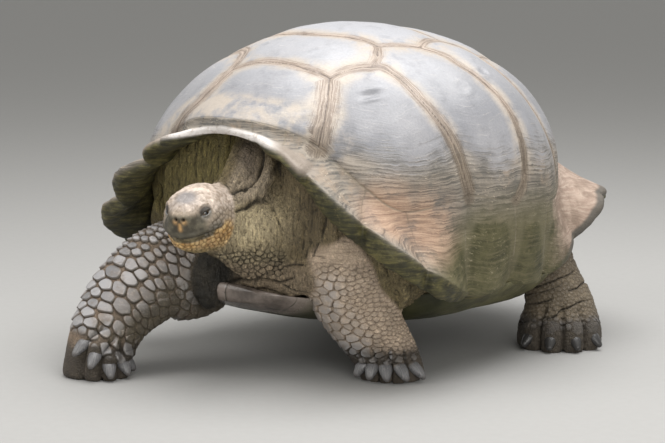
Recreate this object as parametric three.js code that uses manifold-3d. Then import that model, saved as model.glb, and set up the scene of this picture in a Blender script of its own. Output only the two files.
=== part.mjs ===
// Life-size giant tortoise, standing in mid step. Millimetres, +Z up; it faces -Y and its left is +X.
// Each limb and soft part is a sphere grid drawn out along a bent spine, and the shell is a sphere
// grid folded into a bowl with an outer and an inner wall. Neighbours are cut to leave a fine gap.
import * as THREE from 'three';
import { mergeVertices } from 'three/addons/utils/BufferGeometryUtils.js';
import Module from 'manifold-3d';

const wasm = await Module();
wasm.setup();

// ---- driving dimensions -------------------------------------------------------------------
const GAP = 0.3;                    // air left between pieces that touch
const WALL = 14;                    // thickness of the shell
const APEX = [0, -105, 711];         // highest point of the dome
const SCALLOP = 16;                 // how far a marginal plate bulges past its seams, less at the front
const PLASTRON_FLOOR = 96;          // height of the underside
const HEAD_CENTRE = [3, -577, 337];
const HEAD_YAW = 22 * Math.PI / 180;       // the head turns to its left
const EYE_RADIUS = 11;
const EYE_PLACE = { ahead: 56, aside: 41, above: 24 };
const MOUTH_CORNER = { ahead: 24, above: -5 };
const MOUTH_SLOPE = 15.5 * Math.PI / 180;    // the mouth line drops toward the beak
const SHELL_COLUMNS = 48;             // two to a marginal plate, so that each has its own bulge
const LIMB_COLUMNS = 18;

// Seams between marginal plates, from the front midline round the left side to the rear: the
// point on the shell's edge, the point where the marginals meet the dome, and how straight the
// dome climbs from there to its top (0 is round like an ellipse, 1 a nearly straight slope).
const MARGINAL_SEAMS = [
  { rim: [0, -499, 503], top: [0, -498, 539], straight: [1] },
  { rim: [86, -503, 502], top: [68, -488, 532], straight: [0.88] },
  { rim: [168, -514, 488], top: [137, -465, 516], straight: [0.7] },
  { rim: [226, -503, 444], top: [200, -435, 492], straight: [0.5] },
  { rim: [343, -466, 349], top: [302, -411, 411], straight: [0.26] },
  { rim: [426, -365, 255], top: [360, -357, 370], straight: [0.06] },
  { rim: [393, -192, 179], top: [400, -201, 377], straight: [0] },
  { rim: [382, -48, 178], top: [422, -74, 363], straight: [-0.06] },
  { rim: [379, 85, 174], top: [420, 48, 350], straight: [-0.08] },
  { rim: [374, 221, 247], top: [368, 155, 350], straight: [-0.06] },
  { rim: [336, 382, 323], top: [286, 272, 380], straight: [0] },
  { rim: [194, 508, 311], top: [162, 398, 420], straight: [0.14] },
  { rim: [0, 553, 286], top: [0, 457, 434], straight: [0.27] },
];

const COLOURS = {
  shell: 0x6f6a66, belly: 0x6a6352, skin: 0x5d554e, head: 0xa39789, jaw: 0x9a8560,
  eye: 0x14110f, claw: 0x3a3b40,
};

// ---- small vector helpers -----------------------------------------------------------------
const vec = (p) => new THREE.Vector3(...p);
const lerp = THREE.MathUtils.lerp;

function catmullRom(points, place) {
  const last = points.length - 1;
  const along = Math.min(Math.max(place, 0), 1) * last;
  const k = Math.min(Math.floor(along), last - 1);
  const f = along - k;
  const [a, b, c, d] = [-1, 0, 1, 2].map((step) => points[Math.min(Math.max(k + step, 0), last)]);
  return b.map((_, i) => 0.5 * (2 * b[i] + (c[i] - a[i]) * f
    + (2 * a[i] - 5 * b[i] + 4 * c[i] - d[i]) * f * f
    + (3 * b[i] - a[i] - 3 * c[i] + d[i]) * f * f * f));
}

// ---- grids and solids ---------------------------------------------------------------------
// A sphere's grid with every vertex moved to place(u, row): u runs round, row is 0 .. rows.
function mappedGrid(columns, rows, place) {
  const geometry = new THREE.SphereGeometry(1, columns, rows);
  const uv = geometry.attributes.uv;
  const position = geometry.attributes.position;
  for (let i = 0; i < position.count; i += 1) {
    const row = Math.floor(i / (columns + 1));
    const atPole = row === 0 || row === rows;
    const u = atPole ? 0 : uv.getX(i) % 1;
    position.setXYZ(i, ...place(u, row));
  }
  return toSolid(geometry);
}

function toSolid(source) {
  const geometry = source.clone();
  geometry.deleteAttribute('normal');
  geometry.deleteAttribute('uv');
  const welded = mergeVertices(geometry, 1e-4);
  const corners = welded.attributes.position.array;
  const faces = Uint32Array.from(welded.index.array);
  if (signedVolume(corners, faces) < 0) {
    for (let i = 0; i < faces.length; i += 3) {
      [faces[i], faces[i + 1]] = [faces[i + 1], faces[i]];
    }
  }
  const mesh = new wasm.Mesh({ numProp: 3, vertProperties: Float32Array.from(corners), triVerts: faces });
  return new wasm.Manifold(mesh);
}

function signedVolume(corners, faces) {
  const corner = (i) => new THREE.Vector3().fromArray(corners, 3 * faces[i]);
  let sum = 0;
  for (let i = 0; i < faces.length; i += 3) {
    sum += corner(i).dot(corner(i + 1).cross(corner(i + 2)));
  }
  return sum;
}

const largestPiece = (solid) =>
  solid.decompose().reduce((best, piece) => (piece.volume() > best.volume() ? piece : best));

const cutBy = (solid, ...cutters) =>
  largestPiece(cutters.reduce((left, cutter) => left.subtract(cutter), solid));

function toMesh(name, solid, colour, roughness) {
  const mesh = solid.getMesh();
  const geometry = new THREE.BufferGeometry();
  geometry.setAttribute('position', new THREE.BufferAttribute(Float32Array.from(mesh.vertProperties), 3));
  geometry.setIndex(new THREE.BufferAttribute(Uint32Array.from(mesh.triVerts), 1));
  geometry.computeVertexNormals();
  const result = new THREE.Mesh(geometry, new THREE.MeshStandardMaterial({ color: colour, roughness }));
  result.name = name;
  return result;
}

// A solid drawn along a spine. Each station is [x, y, z, halfAcross, halfDeep]; `deep` is the
// direction that halfDeep is measured in, and `cap` the share of the length that rounds each end.
function loft(stations, { deep, cap = 0.12, rows = 16, columns = LIMB_COLUMNS, grow = 0, square = 2 }) {
  const spine = (s) => catmullRom(stations, s);
  const placeOnSpine = (s) => {
    const here = spine(s);
    const tangent = vec(spine(Math.min(s + 0.02, 1)).slice(0, 3))
      .sub(vec(spine(Math.max(s - 0.02, 0)).slice(0, 3))).normalize();
    const across = new THREE.Vector3().crossVectors(tangent, vec(deep)).normalize();
    const inward = new THREE.Vector3().crossVectors(across, tangent).normalize();
    return { here, tangent, across, inward };
  };
  const roundOff = (s) => {
    const toEnd = Math.min(s, 1 - s) / cap;
    return toEnd >= 1 ? 1 : Math.sqrt(Math.max(0, 1 - (1 - toEnd) ** 2));
  };
  const power = 2 / square;
  const bend = (value) => Math.sign(value) * Math.abs(value) ** power;
  return mappedGrid(columns, rows, (u, row) => {
    const s = (1 - Math.cos(Math.PI * row / rows)) / 2;
    const { here, tangent, across, inward } = placeOnSpine(s);
    const angle = 2 * Math.PI * u;
    const shrink = roundOff(s);
    const reach = (half) => (row === 0 || row === rows ? 0 : half * shrink + grow);
    const push = -grow * Math.cos(Math.PI * row / rows);
    return vec(here.slice(0, 3))
      .addScaledVector(across, reach(here[3]) * bend(Math.cos(angle)))
      .addScaledVector(inward, reach(here[4]) * bend(Math.sin(angle)))
      .addScaledVector(tangent, push).toArray();
  });
}

// ---- shell --------------------------------------------------------------------------------
const mirrorX = (p) => (p.length > 1 ? [-p[0], p[1], p[2]] : p);

function alongSeams(kind, t) {
  const keys = MARGINAL_SEAMS.map((seam) => seam[kind]);
  const ring = [mirrorX(keys[1]), ...keys, mirrorX(keys[keys.length - 2])];
  return catmullRom(ring, (1 + t * (keys.length - 1)) / (ring.length - 1));
}

// The dome: t is 0 at the front midline and 1 at the rear; v is 0 at the apex and 1 where the
// marginal plates start.
function domePoint(t, v) {
  const foot = alongSeams('top', t);
  const [straight] = alongSeams('straight', t);
  const out = Math.sin(v * Math.PI / 2);
  const drop = lerp(1 - Math.cos(v * Math.PI / 2), out ** 1.65, straight);
  return [
    lerp(APEX[0], foot[0], out), lerp(APEX[1], foot[1], out), lerp(APEX[2], foot[2], drop),
  ];
}

// Outer face of the shell, on which v runs on from 1 to 2 down the marginal plates to the edge.
// They leave along the dome's own slope and curl out to the edge.
function shellPoint(t, v) {
  if (v <= 1) {
    return domePoint(t, v);
  }
  const top = vec(domePoint(t, 1));
  const rim = vec(alongSeams('rim', t));
  const hang = lerp(0.45, 0.18, THREE.MathUtils.smoothstep(t, 0.65, 0.82));
  const slope = top.clone().sub(vec(domePoint(t, 0.99))).normalize();
  const bend = top.clone().addScaledVector(slope, hang * rim.distanceTo(top));
  const w = v - 1;
  const seams = t * (MARGINAL_SEAMS.length - 1);
  const scallop = SCALLOP * lerp(0.15, 1, THREE.MathUtils.smoothstep(seams, 2.2, 3.4));
  const bulge = scallop * w * w * Math.abs(Math.sin(Math.PI * seams));
  const outward = vec([rim.x, rim.y + 60, 0]).normalize();
  return top.multiplyScalar((1 - w) ** 2).addScaledVector(bend, 2 * w * (1 - w))
    .addScaledVector(rim, w * w).addScaledVector(outward, bulge).toArray();
}

function shellNormal(t, v) {
  const step = 0.01;
  const alongT = vec(shellPoint(t + step, v)).sub(vec(shellPoint(t - step, v)));
  const alongV = vec(shellPoint(t, Math.min(v + step, 2))).sub(vec(shellPoint(t, Math.max(v - step, 0))));
  return alongV.cross(alongT).normalize();
}

const halfTurn = (u) => ({ t: u <= 0.5 ? 2 * u : 2 - 2 * u, side: u <= 0.5 ? 1 : -1 });

// A point `depth` below the shell's outer face.
function underShell(u, v, depth) {
  const { t, side } = halfTurn(u);
  const point = vec(shellPoint(t, v));
  const normal = v === 0 ? vec([0, 0, 1]) : shellNormal(Math.min(Math.max(t, 0.01), 0.99), v);
  if (t === 0 || t === 1) {
    normal.x = 0;
  }
  point.addScaledVector(normal, -depth);
  return [side * point.x, point.y, point.z];
}

const OUTER_ROWS = [0, 0.12, 0.25, 0.38, 0.5, 0.62, 0.74, 0.87, 1, 1.3, 1.65, 2];
const INNER_ROWS = [2, 1.5, 1, 0.8, 0.6, 0.4, 0.2, 0];

function carapace(grow = 0) {
  const walls = [
    ...OUTER_ROWS.map((v) => ({ v, depth: -grow })),
    ...INNER_ROWS.map((v) => ({ v, depth: WALL + grow })),
  ];
  return mappedGrid(SHELL_COLUMNS, walls.length - 1, (u, row) => {
    const point = underShell(u, walls[row].v, walls[row].depth);
    return walls[row].v === 2 ? [point[0], point[1], point[2] - grow] : point;
  });
}

// The underside: a plate whose bridges rise to meet the marginal plates at mid length.
// Each station is [lift of its middle, y, rise toward its two edges, half width, half thickness].
const PLASTRON_STATIONS = [
  [66, -500, 4, 80, 16], [58, -478, 8, 145, 21], [30, -400, 24, 178, 18], [6, -290, 38, 205, 15],
  [0, -190, 60, 368, 15], [0, -40, 60, 384, 15], [0, 105, 62, 376, 15], [4, 185, 56, 290, 15],
  [10, 270, 40, 225, 15], [16, 370, 30, 185, 15], [20, 420, 26, 100, 13],
];

function plastron(grow = 0, raise = 0) {
  const rows = 20;
  return mappedGrid(16, rows, (u, row) => {
    const s = (1 - Math.cos(Math.PI * row / rows)) / 2;
    const [lift, y, rise, halfWide, halfThick] = catmullRom(PLASTRON_STATIONS, s);
    const pole = row === 0 || row === rows;
    const across = Math.cos(2 * Math.PI * u);
    const upward = Math.sin(2 * Math.PI * u);
    const shrink = Math.sqrt(Math.min(1, Math.min(s, 1 - s) / 0.05));
    const thick = pole ? 0 : halfThick * Math.sqrt(shrink) + grow;
    return [
      pole ? 0 : across * (halfWide * shrink + grow),
      y - grow * Math.cos(Math.PI * row / rows),
      PLASTRON_FLOOR + raise + halfThick + lift + rise * Math.abs(across) ** 5
        + thick * Math.sign(upward) * Math.abs(upward) ** 0.6,
    ];
  });
}

// ---- soft body ----------------------------------------------------------------------------
// The trunk fills the shell: it follows the inside of the dome, then drops to the underside, and
// stands back from the two ends so that the shell overhangs neck and tail.
const TRUNK_ROWS = [0, 0.2, 0.4, 0.6, 0.8, 1];
const TRUNK_FRONT = -392;
const TRUNK_REAR = 385;
const SINK_ROWS = 5;

function trunk(grow = 0) {
  const rows = TRUNK_ROWS.length - 1 + SINK_ROWS;
  return mappedGrid(SHELL_COLUMNS, rows, (u, row) => {
    const sink = Math.max(row - TRUNK_ROWS.length + 1, 0) / SINK_ROWS;
    const narrow = row === rows ? 0 : Math.cos(sink * Math.PI / 2) ** 0.35;
    const floor = PLASTRON_FLOOR + 18 - grow;
    const edge = underShell(u, TRUNK_ROWS[row] ?? 1, WALL + GAP - grow);
    const point = [
      edge[0] * narrow, edge[1] * narrow, lerp(edge[2], floor, Math.sin(sink * Math.PI / 2)),
    ];
    const front = Math.min(point[1] - TRUNK_FRONT, 0) * 0.8;
    const rear = Math.max(point[1] - TRUNK_REAR, 0) * 0.8;
    return [point[0], point[1] - front - rear, point[2]];
  });
}

const UP = [0, 0, 1];
const FORWARD = [0, -1, 0];

// Stations along the neck, from inside the trunk to the back of the head.
const NECK_STATIONS = [
  [0, -330, 350, 116, 120], [0, -400, 330, 104, 114], [0, -450, 318, 86, 96],
  [0, -495, 318, 70, 76], [2, -540, 326, 56, 58],
];
const neck = (grow = 0) => loft(NECK_STATIONS, { deep: UP, grow, cap: 0.06, rows: 14, columns: 18 });

// The head's own frame: `ahead` toward the beak, `aside` to its left, `above` upward.
function inHead(ahead, aside, above) {
  const [sin, cos] = [Math.sin(HEAD_YAW), Math.cos(HEAD_YAW)];
  return [
    HEAD_CENTRE[0] + ahead * sin + aside * cos,
    HEAD_CENTRE[1] - ahead * cos + aside * sin,
    HEAD_CENTRE[2] + above,
  ];
}

// Sections of the head from its back to the beak: [ahead, middle height, half width, half height].
const HEAD_SECTIONS = [
  [-92, -2, 34, 36], [-70, 2, 51, 55], [-35, 5, 60, 64], [0, 4, 63, 66],
  [35, 4, 58, 63], [65, -2, 45, 52], [84, -8, 31, 40], [95, -12, 18, 29],
];

function wholeHead(grow = 0) {
  const stations = HEAD_SECTIONS.map(([ahead, above, wide, high]) =>
    [...inHead(ahead, 0, above), wide, high]);
  return loft(stations, { deep: UP, grow, cap: 0.08, rows: 16, columns: 20, square: 2.2 });
}

function box(width, depth, height, centre, turn = new THREE.Euler()) {
  const geometry = new THREE.BoxGeometry(width, depth, height);
  geometry.applyMatrix4(new THREE.Matrix4().makeRotationFromEuler(turn));
  geometry.translate(...centre);
  return toSolid(geometry);
}

// A block that holds all of the head below the mouth line and ahead of its corner.
function belowMouth(grow = 0) {
  const turn = new THREE.Euler(MOUTH_SLOPE, 0, HEAD_YAW, 'ZXY');
  const [length, height] = [160, 90];
  const corner = vec(inHead(MOUTH_CORNER.ahead, 0, MOUTH_CORNER.above));
  const centre = new THREE.Vector3(0, -length / 2 + grow, -height / 2 + grow).applyEuler(turn);
  return box(200, length, height, corner.add(centre).toArray(), turn);
}

function eye(side, grow = 0) {
  const geometry = new THREE.SphereGeometry(EYE_RADIUS + grow, 10, 7);
  geometry.translate(...inHead(EYE_PLACE.ahead, side * EYE_PLACE.aside, EYE_PLACE.above));
  return toSolid(geometry);
}

const TAIL_STATIONS = [
  [0, 350, 232, 46, 46], [0, 420, 205, 36, 34], [6, 458, 160, 24, 24],
  [14, 466, 118, 15, 16], [22, 458, 86, 8, 8],
];
const tail = (grow = 0) => loft(TAIL_STATIONS, { deep: FORWARD, grow, cap: 0.08, rows: 10, columns: 12 });

// ---- legs ---------------------------------------------------------------------------------
// Stations from the body to just under the sole, which is then cut flat at the ground.
const LEGS = {
  foreleg_left: {
    stations: [
      [180, -300, 300, 70, 66], [204, -366, 250, 82, 66], [202, -356, 190, 84, 62],
      [229, -312, 108, 76, 57], [246, -276, 44, 68, 58], [252, -266, 2, 68, 62],
      [252, -264, -20, 58, 54],
    ],
    heading: 34, claws: 5, spread: 110, climb: 0,
  },
  foreleg_right: {
    stations: [
      [-130, -340, 272, 94, 80], [-150, -432, 213, 112, 86], [-192, -511, 190, 96, 75],
      [-216, -578, 137, 87, 66], [-221, -626, 82, 75, 60], [-224, -648, 34, 66, 60],
      [-226, -656, 0, 64, 58], [-226, -658, -18, 54, 50],
    ],
    heading: 70, claws: 5, spread: 128, climb: 44,
  },
  hindleg_left: {
    stations: [
      [205, 258, 270, 80, 80], [262, 234, 205, 66, 72], [296, 234, 146, 60, 66],
      [316, 237, 94, 72, 74], [323, 233, 42, 87, 88], [324, 232, 4, 87, 90], [324, 232, -20, 76, 78],
    ],
    heading: 40, claws: 4, spread: 100, climb: 0,
  },
  hindleg_right: {
    stations: [
      [-205, 262, 270, 80, 80], [-255, 258, 205, 66, 72], [-288, 266, 146, 60, 66],
      [-305, 271, 94, 74, 74], [-312, 268, 42, 88, 88], [-314, 266, 4, 88, 90],
      [-314, 266, -20, 78, 78],
    ],
    heading: -24, claws: 4, spread: 100, climb: 0,
  },
};

const GROUND_BLOCK = box(3000, 3000, 200, [0, 0, -100]);

const leg = (name, grow = 0) =>
  loft(LEGS[name].stations, { deep: FORWARD, grow, cap: 0.1, rows: 14, square: 2.3 });

// Claws fan out round the foot from `heading`, lie close against it and point down. Where a foot
// rolls over in its step, its first claws climb to `climb` above the others.
const CLAW = { root: 14, tip: 5, rootHeight: 38, tipHeight: 9, reach: 13 };

function sectionAt(stations, height) {
  const k = stations.findIndex((station) => station[2] <= height);
  const [above, below] = [stations[k - 1], stations[k]];
  const f = (above[2] - height) / (above[2] - below[2]);
  return above.map((value, i) => lerp(value, below[i], f));
}

function claws(name) {
  const { stations, heading, claws: count, spread, climb } = LEGS[name];
  return Array.from({ length: count }, (_, i) => {
    const fan = THREE.MathUtils.degToRad(heading + spread * (i / (count - 1) - 0.5));
    const away = [Math.sin(fan), -Math.cos(fan)];
    const rise = climb * Math.max(0, 1 - i / 2);
    const at = (distance, height) => {
      const [x, y, , wide, deep] = sectionAt(stations, height + rise);
      const edge = (wide * deep) / Math.hypot(deep * away[0], wide * away[1]);
      return [x + away[0] * (edge + distance), y + away[1] * (edge + distance), height + rise];
    };
    const middle = lerp(CLAW.rootHeight, CLAW.tipHeight, 0.45);
    return loft([
      [...at(-9, CLAW.rootHeight), CLAW.root, CLAW.root * 0.8],
      [...at(CLAW.reach * 0.3, middle), CLAW.root * 0.9, CLAW.root * 0.75],
      [...at(CLAW.reach, CLAW.tipHeight), CLAW.tip, CLAW.tip],
    ], { deep: UP, cap: 0.15, rows: 5, columns: 7 });
  });
}

// ---- assembly -----------------------------------------------------------------------------
const tortoise = new THREE.Group();
const place = (name, solid, colour, roughness = 0.8) => tortoise.add(toMesh(name, solid, colour, roughness));

const shellCutter = carapace(GAP);
const plastronSolid = cutBy(plastron(), shellCutter);
const plastronCutter = plastron(GAP).add(plastron()).add(plastron(0, 2 * GAP));
const trunkSolid = cutBy(trunk(), shellCutter, plastronCutter);
const trunkCutter = trunk(GAP);

place('carapace', carapace(), COLOURS.shell, 0.55);
place('plastron', plastronSolid, COLOURS.belly, 0.7);
place('trunk', trunkSolid, COLOURS.skin);
place('neck', cutBy(neck(), shellCutter, plastronCutter, trunkCutter), COLOURS.skin);
place('tail', cutBy(tail(), shellCutter, plastronCutter, trunkCutter), COLOURS.skin);

const eyes = { eye_left: 1, eye_right: -1 };
const sockets = Object.values(eyes).map((side) => eye(side, GAP));
const headSolid = cutBy(wholeHead(), neck(GAP), ...sockets);
place('head', cutBy(headSolid, belowMouth(GAP)), COLOURS.head);
place('lower_jaw', largestPiece(headSolid.intersect(belowMouth())), COLOURS.jaw);
for (const [name, side] of Object.entries(eyes)) {
  place(name, eye(side), COLOURS.eye, 0.1);
}

const neckCutter = neck(GAP);
for (const name of Object.keys(LEGS)) {
  place(name, cutBy(leg(name), shellCutter, plastronCutter, trunkCutter, neckCutter, GROUND_BLOCK),
    COLOURS.skin);
  claws(name).forEach((claw, i) => {
    place(`claw_${name}_${i + 1}`, cutBy(claw, leg(name, GAP)), COLOURS.claw, 0.35);
  });
}

// The middle of the footprint stands on the origin.
const bounds = new THREE.Box3().setFromObject(tortoise);
const middle = bounds.getCenter(new THREE.Vector3());
tortoise.position.set(-middle.x, -middle.y, -bounds.min.z);
tortoise.updateMatrixWorld(true);

export default tortoise;
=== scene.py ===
"""A life-size giant tortoise in mid step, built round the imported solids.

Shapes are worked out in millimetres in the tortoise's own frame (it faces -Y, its left is +X and
the floor is z = 0), then set down in the frame's metres.
"""
import itertools
import math

import bpy
import numpy as np
import openvdb
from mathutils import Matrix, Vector, kdtree


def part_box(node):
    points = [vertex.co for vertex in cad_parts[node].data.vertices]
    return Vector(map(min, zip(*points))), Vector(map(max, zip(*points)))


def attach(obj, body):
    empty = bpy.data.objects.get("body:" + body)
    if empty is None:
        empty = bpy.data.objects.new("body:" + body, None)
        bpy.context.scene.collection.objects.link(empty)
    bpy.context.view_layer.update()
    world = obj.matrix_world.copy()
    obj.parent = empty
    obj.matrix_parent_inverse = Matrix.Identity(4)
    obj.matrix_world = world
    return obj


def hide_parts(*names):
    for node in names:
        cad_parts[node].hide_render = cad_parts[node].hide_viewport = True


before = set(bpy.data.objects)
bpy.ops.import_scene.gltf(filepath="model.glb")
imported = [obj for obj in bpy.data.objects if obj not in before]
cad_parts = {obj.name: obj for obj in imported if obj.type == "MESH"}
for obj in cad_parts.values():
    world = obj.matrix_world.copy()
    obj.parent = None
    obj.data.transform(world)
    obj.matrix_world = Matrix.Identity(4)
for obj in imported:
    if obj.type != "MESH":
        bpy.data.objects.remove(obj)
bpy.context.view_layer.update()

# ---- camera -------------------------------------------------------------------------------
CAMERA_TARGET = np.array([-107.9, -31.9, 262.5])
CAMERA_AZIMUTH = math.radians(40.44)     # from straight ahead, round to the animal's left
CAMERA_ELEVATION = math.radians(8.44)
CAMERA_DISTANCE = 5.0
CAMERA_LENS = 121.67

# ---- the body's main sizes, in millimetres ------------------------------------------------
APEX = np.array([0.0, -105.0, 711.0])
SCALLOP = 16.0
PLASTRON_FLOOR = 96.0
HEAD_CENTRE = np.array([3.0, -577.0, 337.0])
HEAD_YAW = math.radians(22)
EYE_RADIUS = 11.0
EYE_PLACE = (56.0, 41.0, 24.0)           # ahead, aside, above
UP = (0.0, 0.0, 1.0)
FORWARD = (0.0, -1.0, 0.0)

# Seams between marginal plates, front midline to rear midline: edge point, top point, straightness.
MARGINAL_SEAMS = [
    ((0, -499, 503), (0, -498, 539), 1.0),
    ((86, -503, 502), (68, -488, 532), 0.88),
    ((168, -514, 488), (137, -465, 516), 0.7),
    ((226, -503, 444), (200, -435, 492), 0.5),
    ((343, -466, 349), (302, -411, 411), 0.26),
    ((426, -365, 255), (360, -357, 370), 0.06),
    ((393, -192, 179), (400, -201, 377), 0.0),
    ((382, -48, 178), (422, -74, 363), -0.06),
    ((379, 85, 174), (420, 48, 350), -0.08),
    ((374, 221, 247), (368, 155, 350), -0.06),
    ((336, 382, 323), (286, 272, 380), 0.0),
    ((194, 508, 311), (162, 398, 420), 0.14),
    ((0, 553, 286), (0, 457, 434), 0.27),
]
RIM_KEYS = np.array([seam[0] for seam in MARGINAL_SEAMS], float)
TOP_KEYS = np.array([seam[1] for seam in MARGINAL_SEAMS], float)
STRAIGHT_KEYS = np.array([[seam[2]] for seam in MARGINAL_SEAMS], float)
SEAMS = len(MARGINAL_SEAMS) - 1


# ---- small helpers ------------------------------------------------------------------------
def smoothstep(low, high, x):
    w = np.clip((np.asarray(x, float) - low) / (high - low), 0, 1)
    return w * w * (3 - 2 * w)


def bell(x, width):
    return np.exp(-np.square(np.asarray(x, float) / width))


def mix(a, b, w):
    return a + (b - a) * w


def unit(v):
    v = np.asarray(v, float)
    return v / np.maximum(np.linalg.norm(v, axis=-1, keepdims=True), 1e-9)


def catmull_rom(points, place):
    """Points on a Catmull-Rom curve; place runs from 0 to 1 and may be an array."""
    points = np.asarray(points, float)
    last = len(points) - 1
    along = np.clip(np.asarray(place, float), 0, 1) * last
    k = np.minimum(along.astype(int), last - 1)
    f = (along - k)[..., None]
    a, b, c, d = (points[np.clip(k + step, 0, last)] for step in (-1, 0, 1, 2))
    return 0.5 * (2 * b + (c - a) * f + (2 * a - 5 * b + 4 * c - d) * f ** 2
                  + (3 * b - a - 3 * c + d) * f ** 3)


LATTICE_START = 1000.37                  # keeps every point on the positive side of the noise lattice


def hashed(i, j, k, seed):
    """A repeatable number from -1 to 1 for each lattice corner."""
    h = (i.astype(np.uint32) * np.uint32(374761393) + j.astype(np.uint32) * np.uint32(668265263)
         + k.astype(np.uint32) * np.uint32(2246822519) + np.uint32(seed * 7919 + 13))
    h = (h ^ (h >> np.uint32(13))) * np.uint32(1274126177)
    h = h ^ (h >> np.uint32(16))
    return (h & np.uint32(0xFFFFFF)).astype(np.float32) / 8388607.5 - 1


def corners(f):
    """The eight corners of a lattice cell, each with its weight at f of the way across the cell."""
    for dx, dy, dz in itertools.product((0, 1), repeat=3):
        yield (dx, dy, dz), ((f[:, 0] if dx else 1 - f[:, 0]) * (f[:, 1] if dy else 1 - f[:, 1])
                             * (f[:, 2] if dz else 1 - f[:, 2]))


def noise(points, size, seed=0):
    """Smooth noise from -1 to 1, with lumps about `size` millimetres apart."""
    q = np.asarray(points, float) / size + LATTICE_START
    base = np.floor(q).astype(np.int64)
    f = q - base
    f = f * f * (3 - 2 * f)
    return sum(weight * hashed(*(base + corner).T, seed) for corner, weight in corners(f))


def drift(points, size, seeds):
    """A sideways push for each point: noise with one seed for each axis."""
    return np.stack([noise(points, size, seed) for seed in seeds], 1)


def fractal(points, size, octaves=3, seed=0):
    return sum(noise(points, size / 2 ** o, seed + 31 * o) / 2 ** o for o in range(octaves)) / 1.5


def search_tree(targets):
    tree = kdtree.KDTree(len(targets))
    for i, target in enumerate(targets):
        tree.insert(target, i)
    tree.balance()
    return tree


def nearest(points, targets):
    """Distance to, and index of, the nearest target for each point."""
    tree = search_tree(targets)
    found = [tree.find(p) for p in points]
    return np.array([f[2] for f in found]), np.array([f[1] for f in found])


# ---- from millimetres to the frame --------------------------------------------------------
def in_head(ahead, aside, above):
    """Points given in the head's own frame, which is turned to the animal's left."""
    sin, cos = math.sin(HEAD_YAW), math.cos(HEAD_YAW)
    ahead, aside, above = np.broadcast_arrays(*(np.asarray(c, float) for c in (ahead, aside, above)))
    return HEAD_CENTRE + np.stack([ahead * sin + aside * cos, -ahead * cos + aside * sin, above], -1)


def to_head(points):
    sin, cos = math.sin(HEAD_YAW), math.cos(HEAD_YAW)
    x, y, z = (points - HEAD_CENTRE).T
    return x * sin - y * cos, x * cos + y * sin, z


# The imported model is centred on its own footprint; the shell's rear end shows by how far.
SHELL_REAR = 0.55697
FRAME_SHIFT = np.array([0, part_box("carapace")[1][1] - SHELL_REAR, 0])


def new_mesh(name, points, polygons, smooth=True):
    """A mesh object from points in millimetres and a list of face arrays."""
    polygons = [np.asarray(p, np.int32) for p in polygons if len(p)]
    mesh = bpy.data.meshes.new(name)
    mesh.vertices.add(len(points))
    mesh.vertices.foreach_set("co", (np.asarray(points) / 1000 + FRAME_SHIFT).astype(np.float32).ravel())
    corners = np.concatenate([p.ravel() for p in polygons])
    sizes = np.concatenate([np.full(len(p), p.shape[1]) for p in polygons])
    mesh.loops.add(len(corners))
    mesh.loops.foreach_set("vertex_index", corners)
    mesh.polygons.add(len(sizes))
    mesh.polygons.foreach_set("loop_start", (np.cumsum(sizes) - sizes).astype(np.int32))
    mesh.update(calc_edges=True)
    mesh.validate()
    mesh.polygons.foreach_set("use_smooth", np.full(len(mesh.polygons), smooth))
    obj = bpy.data.objects.new(name, mesh)
    bpy.context.collection.objects.link(obj)
    return obj


def set_attributes(obj, **values):
    """One number per point under each name, for the materials."""
    for name, numbers in values.items():
        attribute = obj.data.attributes.new(name, "FLOAT", "POINT")
        attribute.data.foreach_set("value", np.asarray(numbers, np.float32))


def set_colour(obj, name, values):
    attribute = obj.data.color_attributes.new(name, "FLOAT_COLOR", "POINT")
    rgba = np.ones((len(values), 4), np.float32)
    rgba[:, :3] = values
    attribute.data.foreach_set("color", rgba.ravel())


def face_normals(points, polygons):
    """Vertex normals of a mesh given as arrays."""
    total = np.zeros((len(points), 3))
    for faces in polygons:
        if not len(faces):
            continue
        corners = points[faces]
        normal = np.cross(corners[:, 1] - corners[:, 0], corners[:, 2] - corners[:, 0])
        if faces.shape[1] > 3:
            normal = normal + np.cross(corners[:, 2] - corners[:, 0], corners[:, 3] - corners[:, 0])
        for c in range(faces.shape[1]):
            for axis in range(3):
                total[:, axis] += np.bincount(faces[:, c], normal[:, axis], len(points))
    return unit(total)


def join_rings(sizes):
    """Faces between neighbouring closed rings, each of which has 1, n, 2n or n/2 points."""
    quads, triangles = [], []
    start = np.concatenate([[0], np.cumsum(sizes)])
    for a, b, first, second in zip(sizes[:-1], sizes[1:], start[:-1], start[1:]):
        if a == b:
            i = np.arange(a)
            j = (i + 1) % a
            quads.append(np.stack([first + i, second + i, second + j, first + j], 1))
        elif a == 1:
            i = np.arange(b)
            triangles.append(np.stack([np.full(b, first), second + i, second + (i + 1) % b], 1))
        elif b == 1:
            i = np.arange(a)
            triangles.append(np.stack([first + i, np.full(a, second), first + (i + 1) % a], 1))
        elif b == 2 * a:
            i = np.arange(a)
            j, c = (i + 1) % a, 2 * i
            triangles += [
                np.stack([first + i, second + c, second + c + 1], 1),
                np.stack([first + i, second + c + 1, first + j], 1),
                np.stack([first + j, second + c + 1, second + (c + 2) % b], 1)]
        elif a == 2 * b:
            i = np.arange(b)
            j, c = (i + 1) % b, 2 * i
            triangles += [
                np.stack([second + i, first + c + 1, first + c], 1),
                np.stack([second + i, second + j, first + c + 1], 1),
                np.stack([second + j, first + (c + 2) % a, first + c + 1], 1)]
    quads = np.concatenate(quads) if quads else np.zeros((0, 4), int)
    triangles = np.concatenate(triangles) if triangles else np.zeros((0, 3), int)
    return quads, triangles


def ring_mesh(rings):
    """Points, quads and triangles of a surface through a list of rings."""
    return np.vstack(rings), *join_rings([len(ring) for ring in rings])


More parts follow.
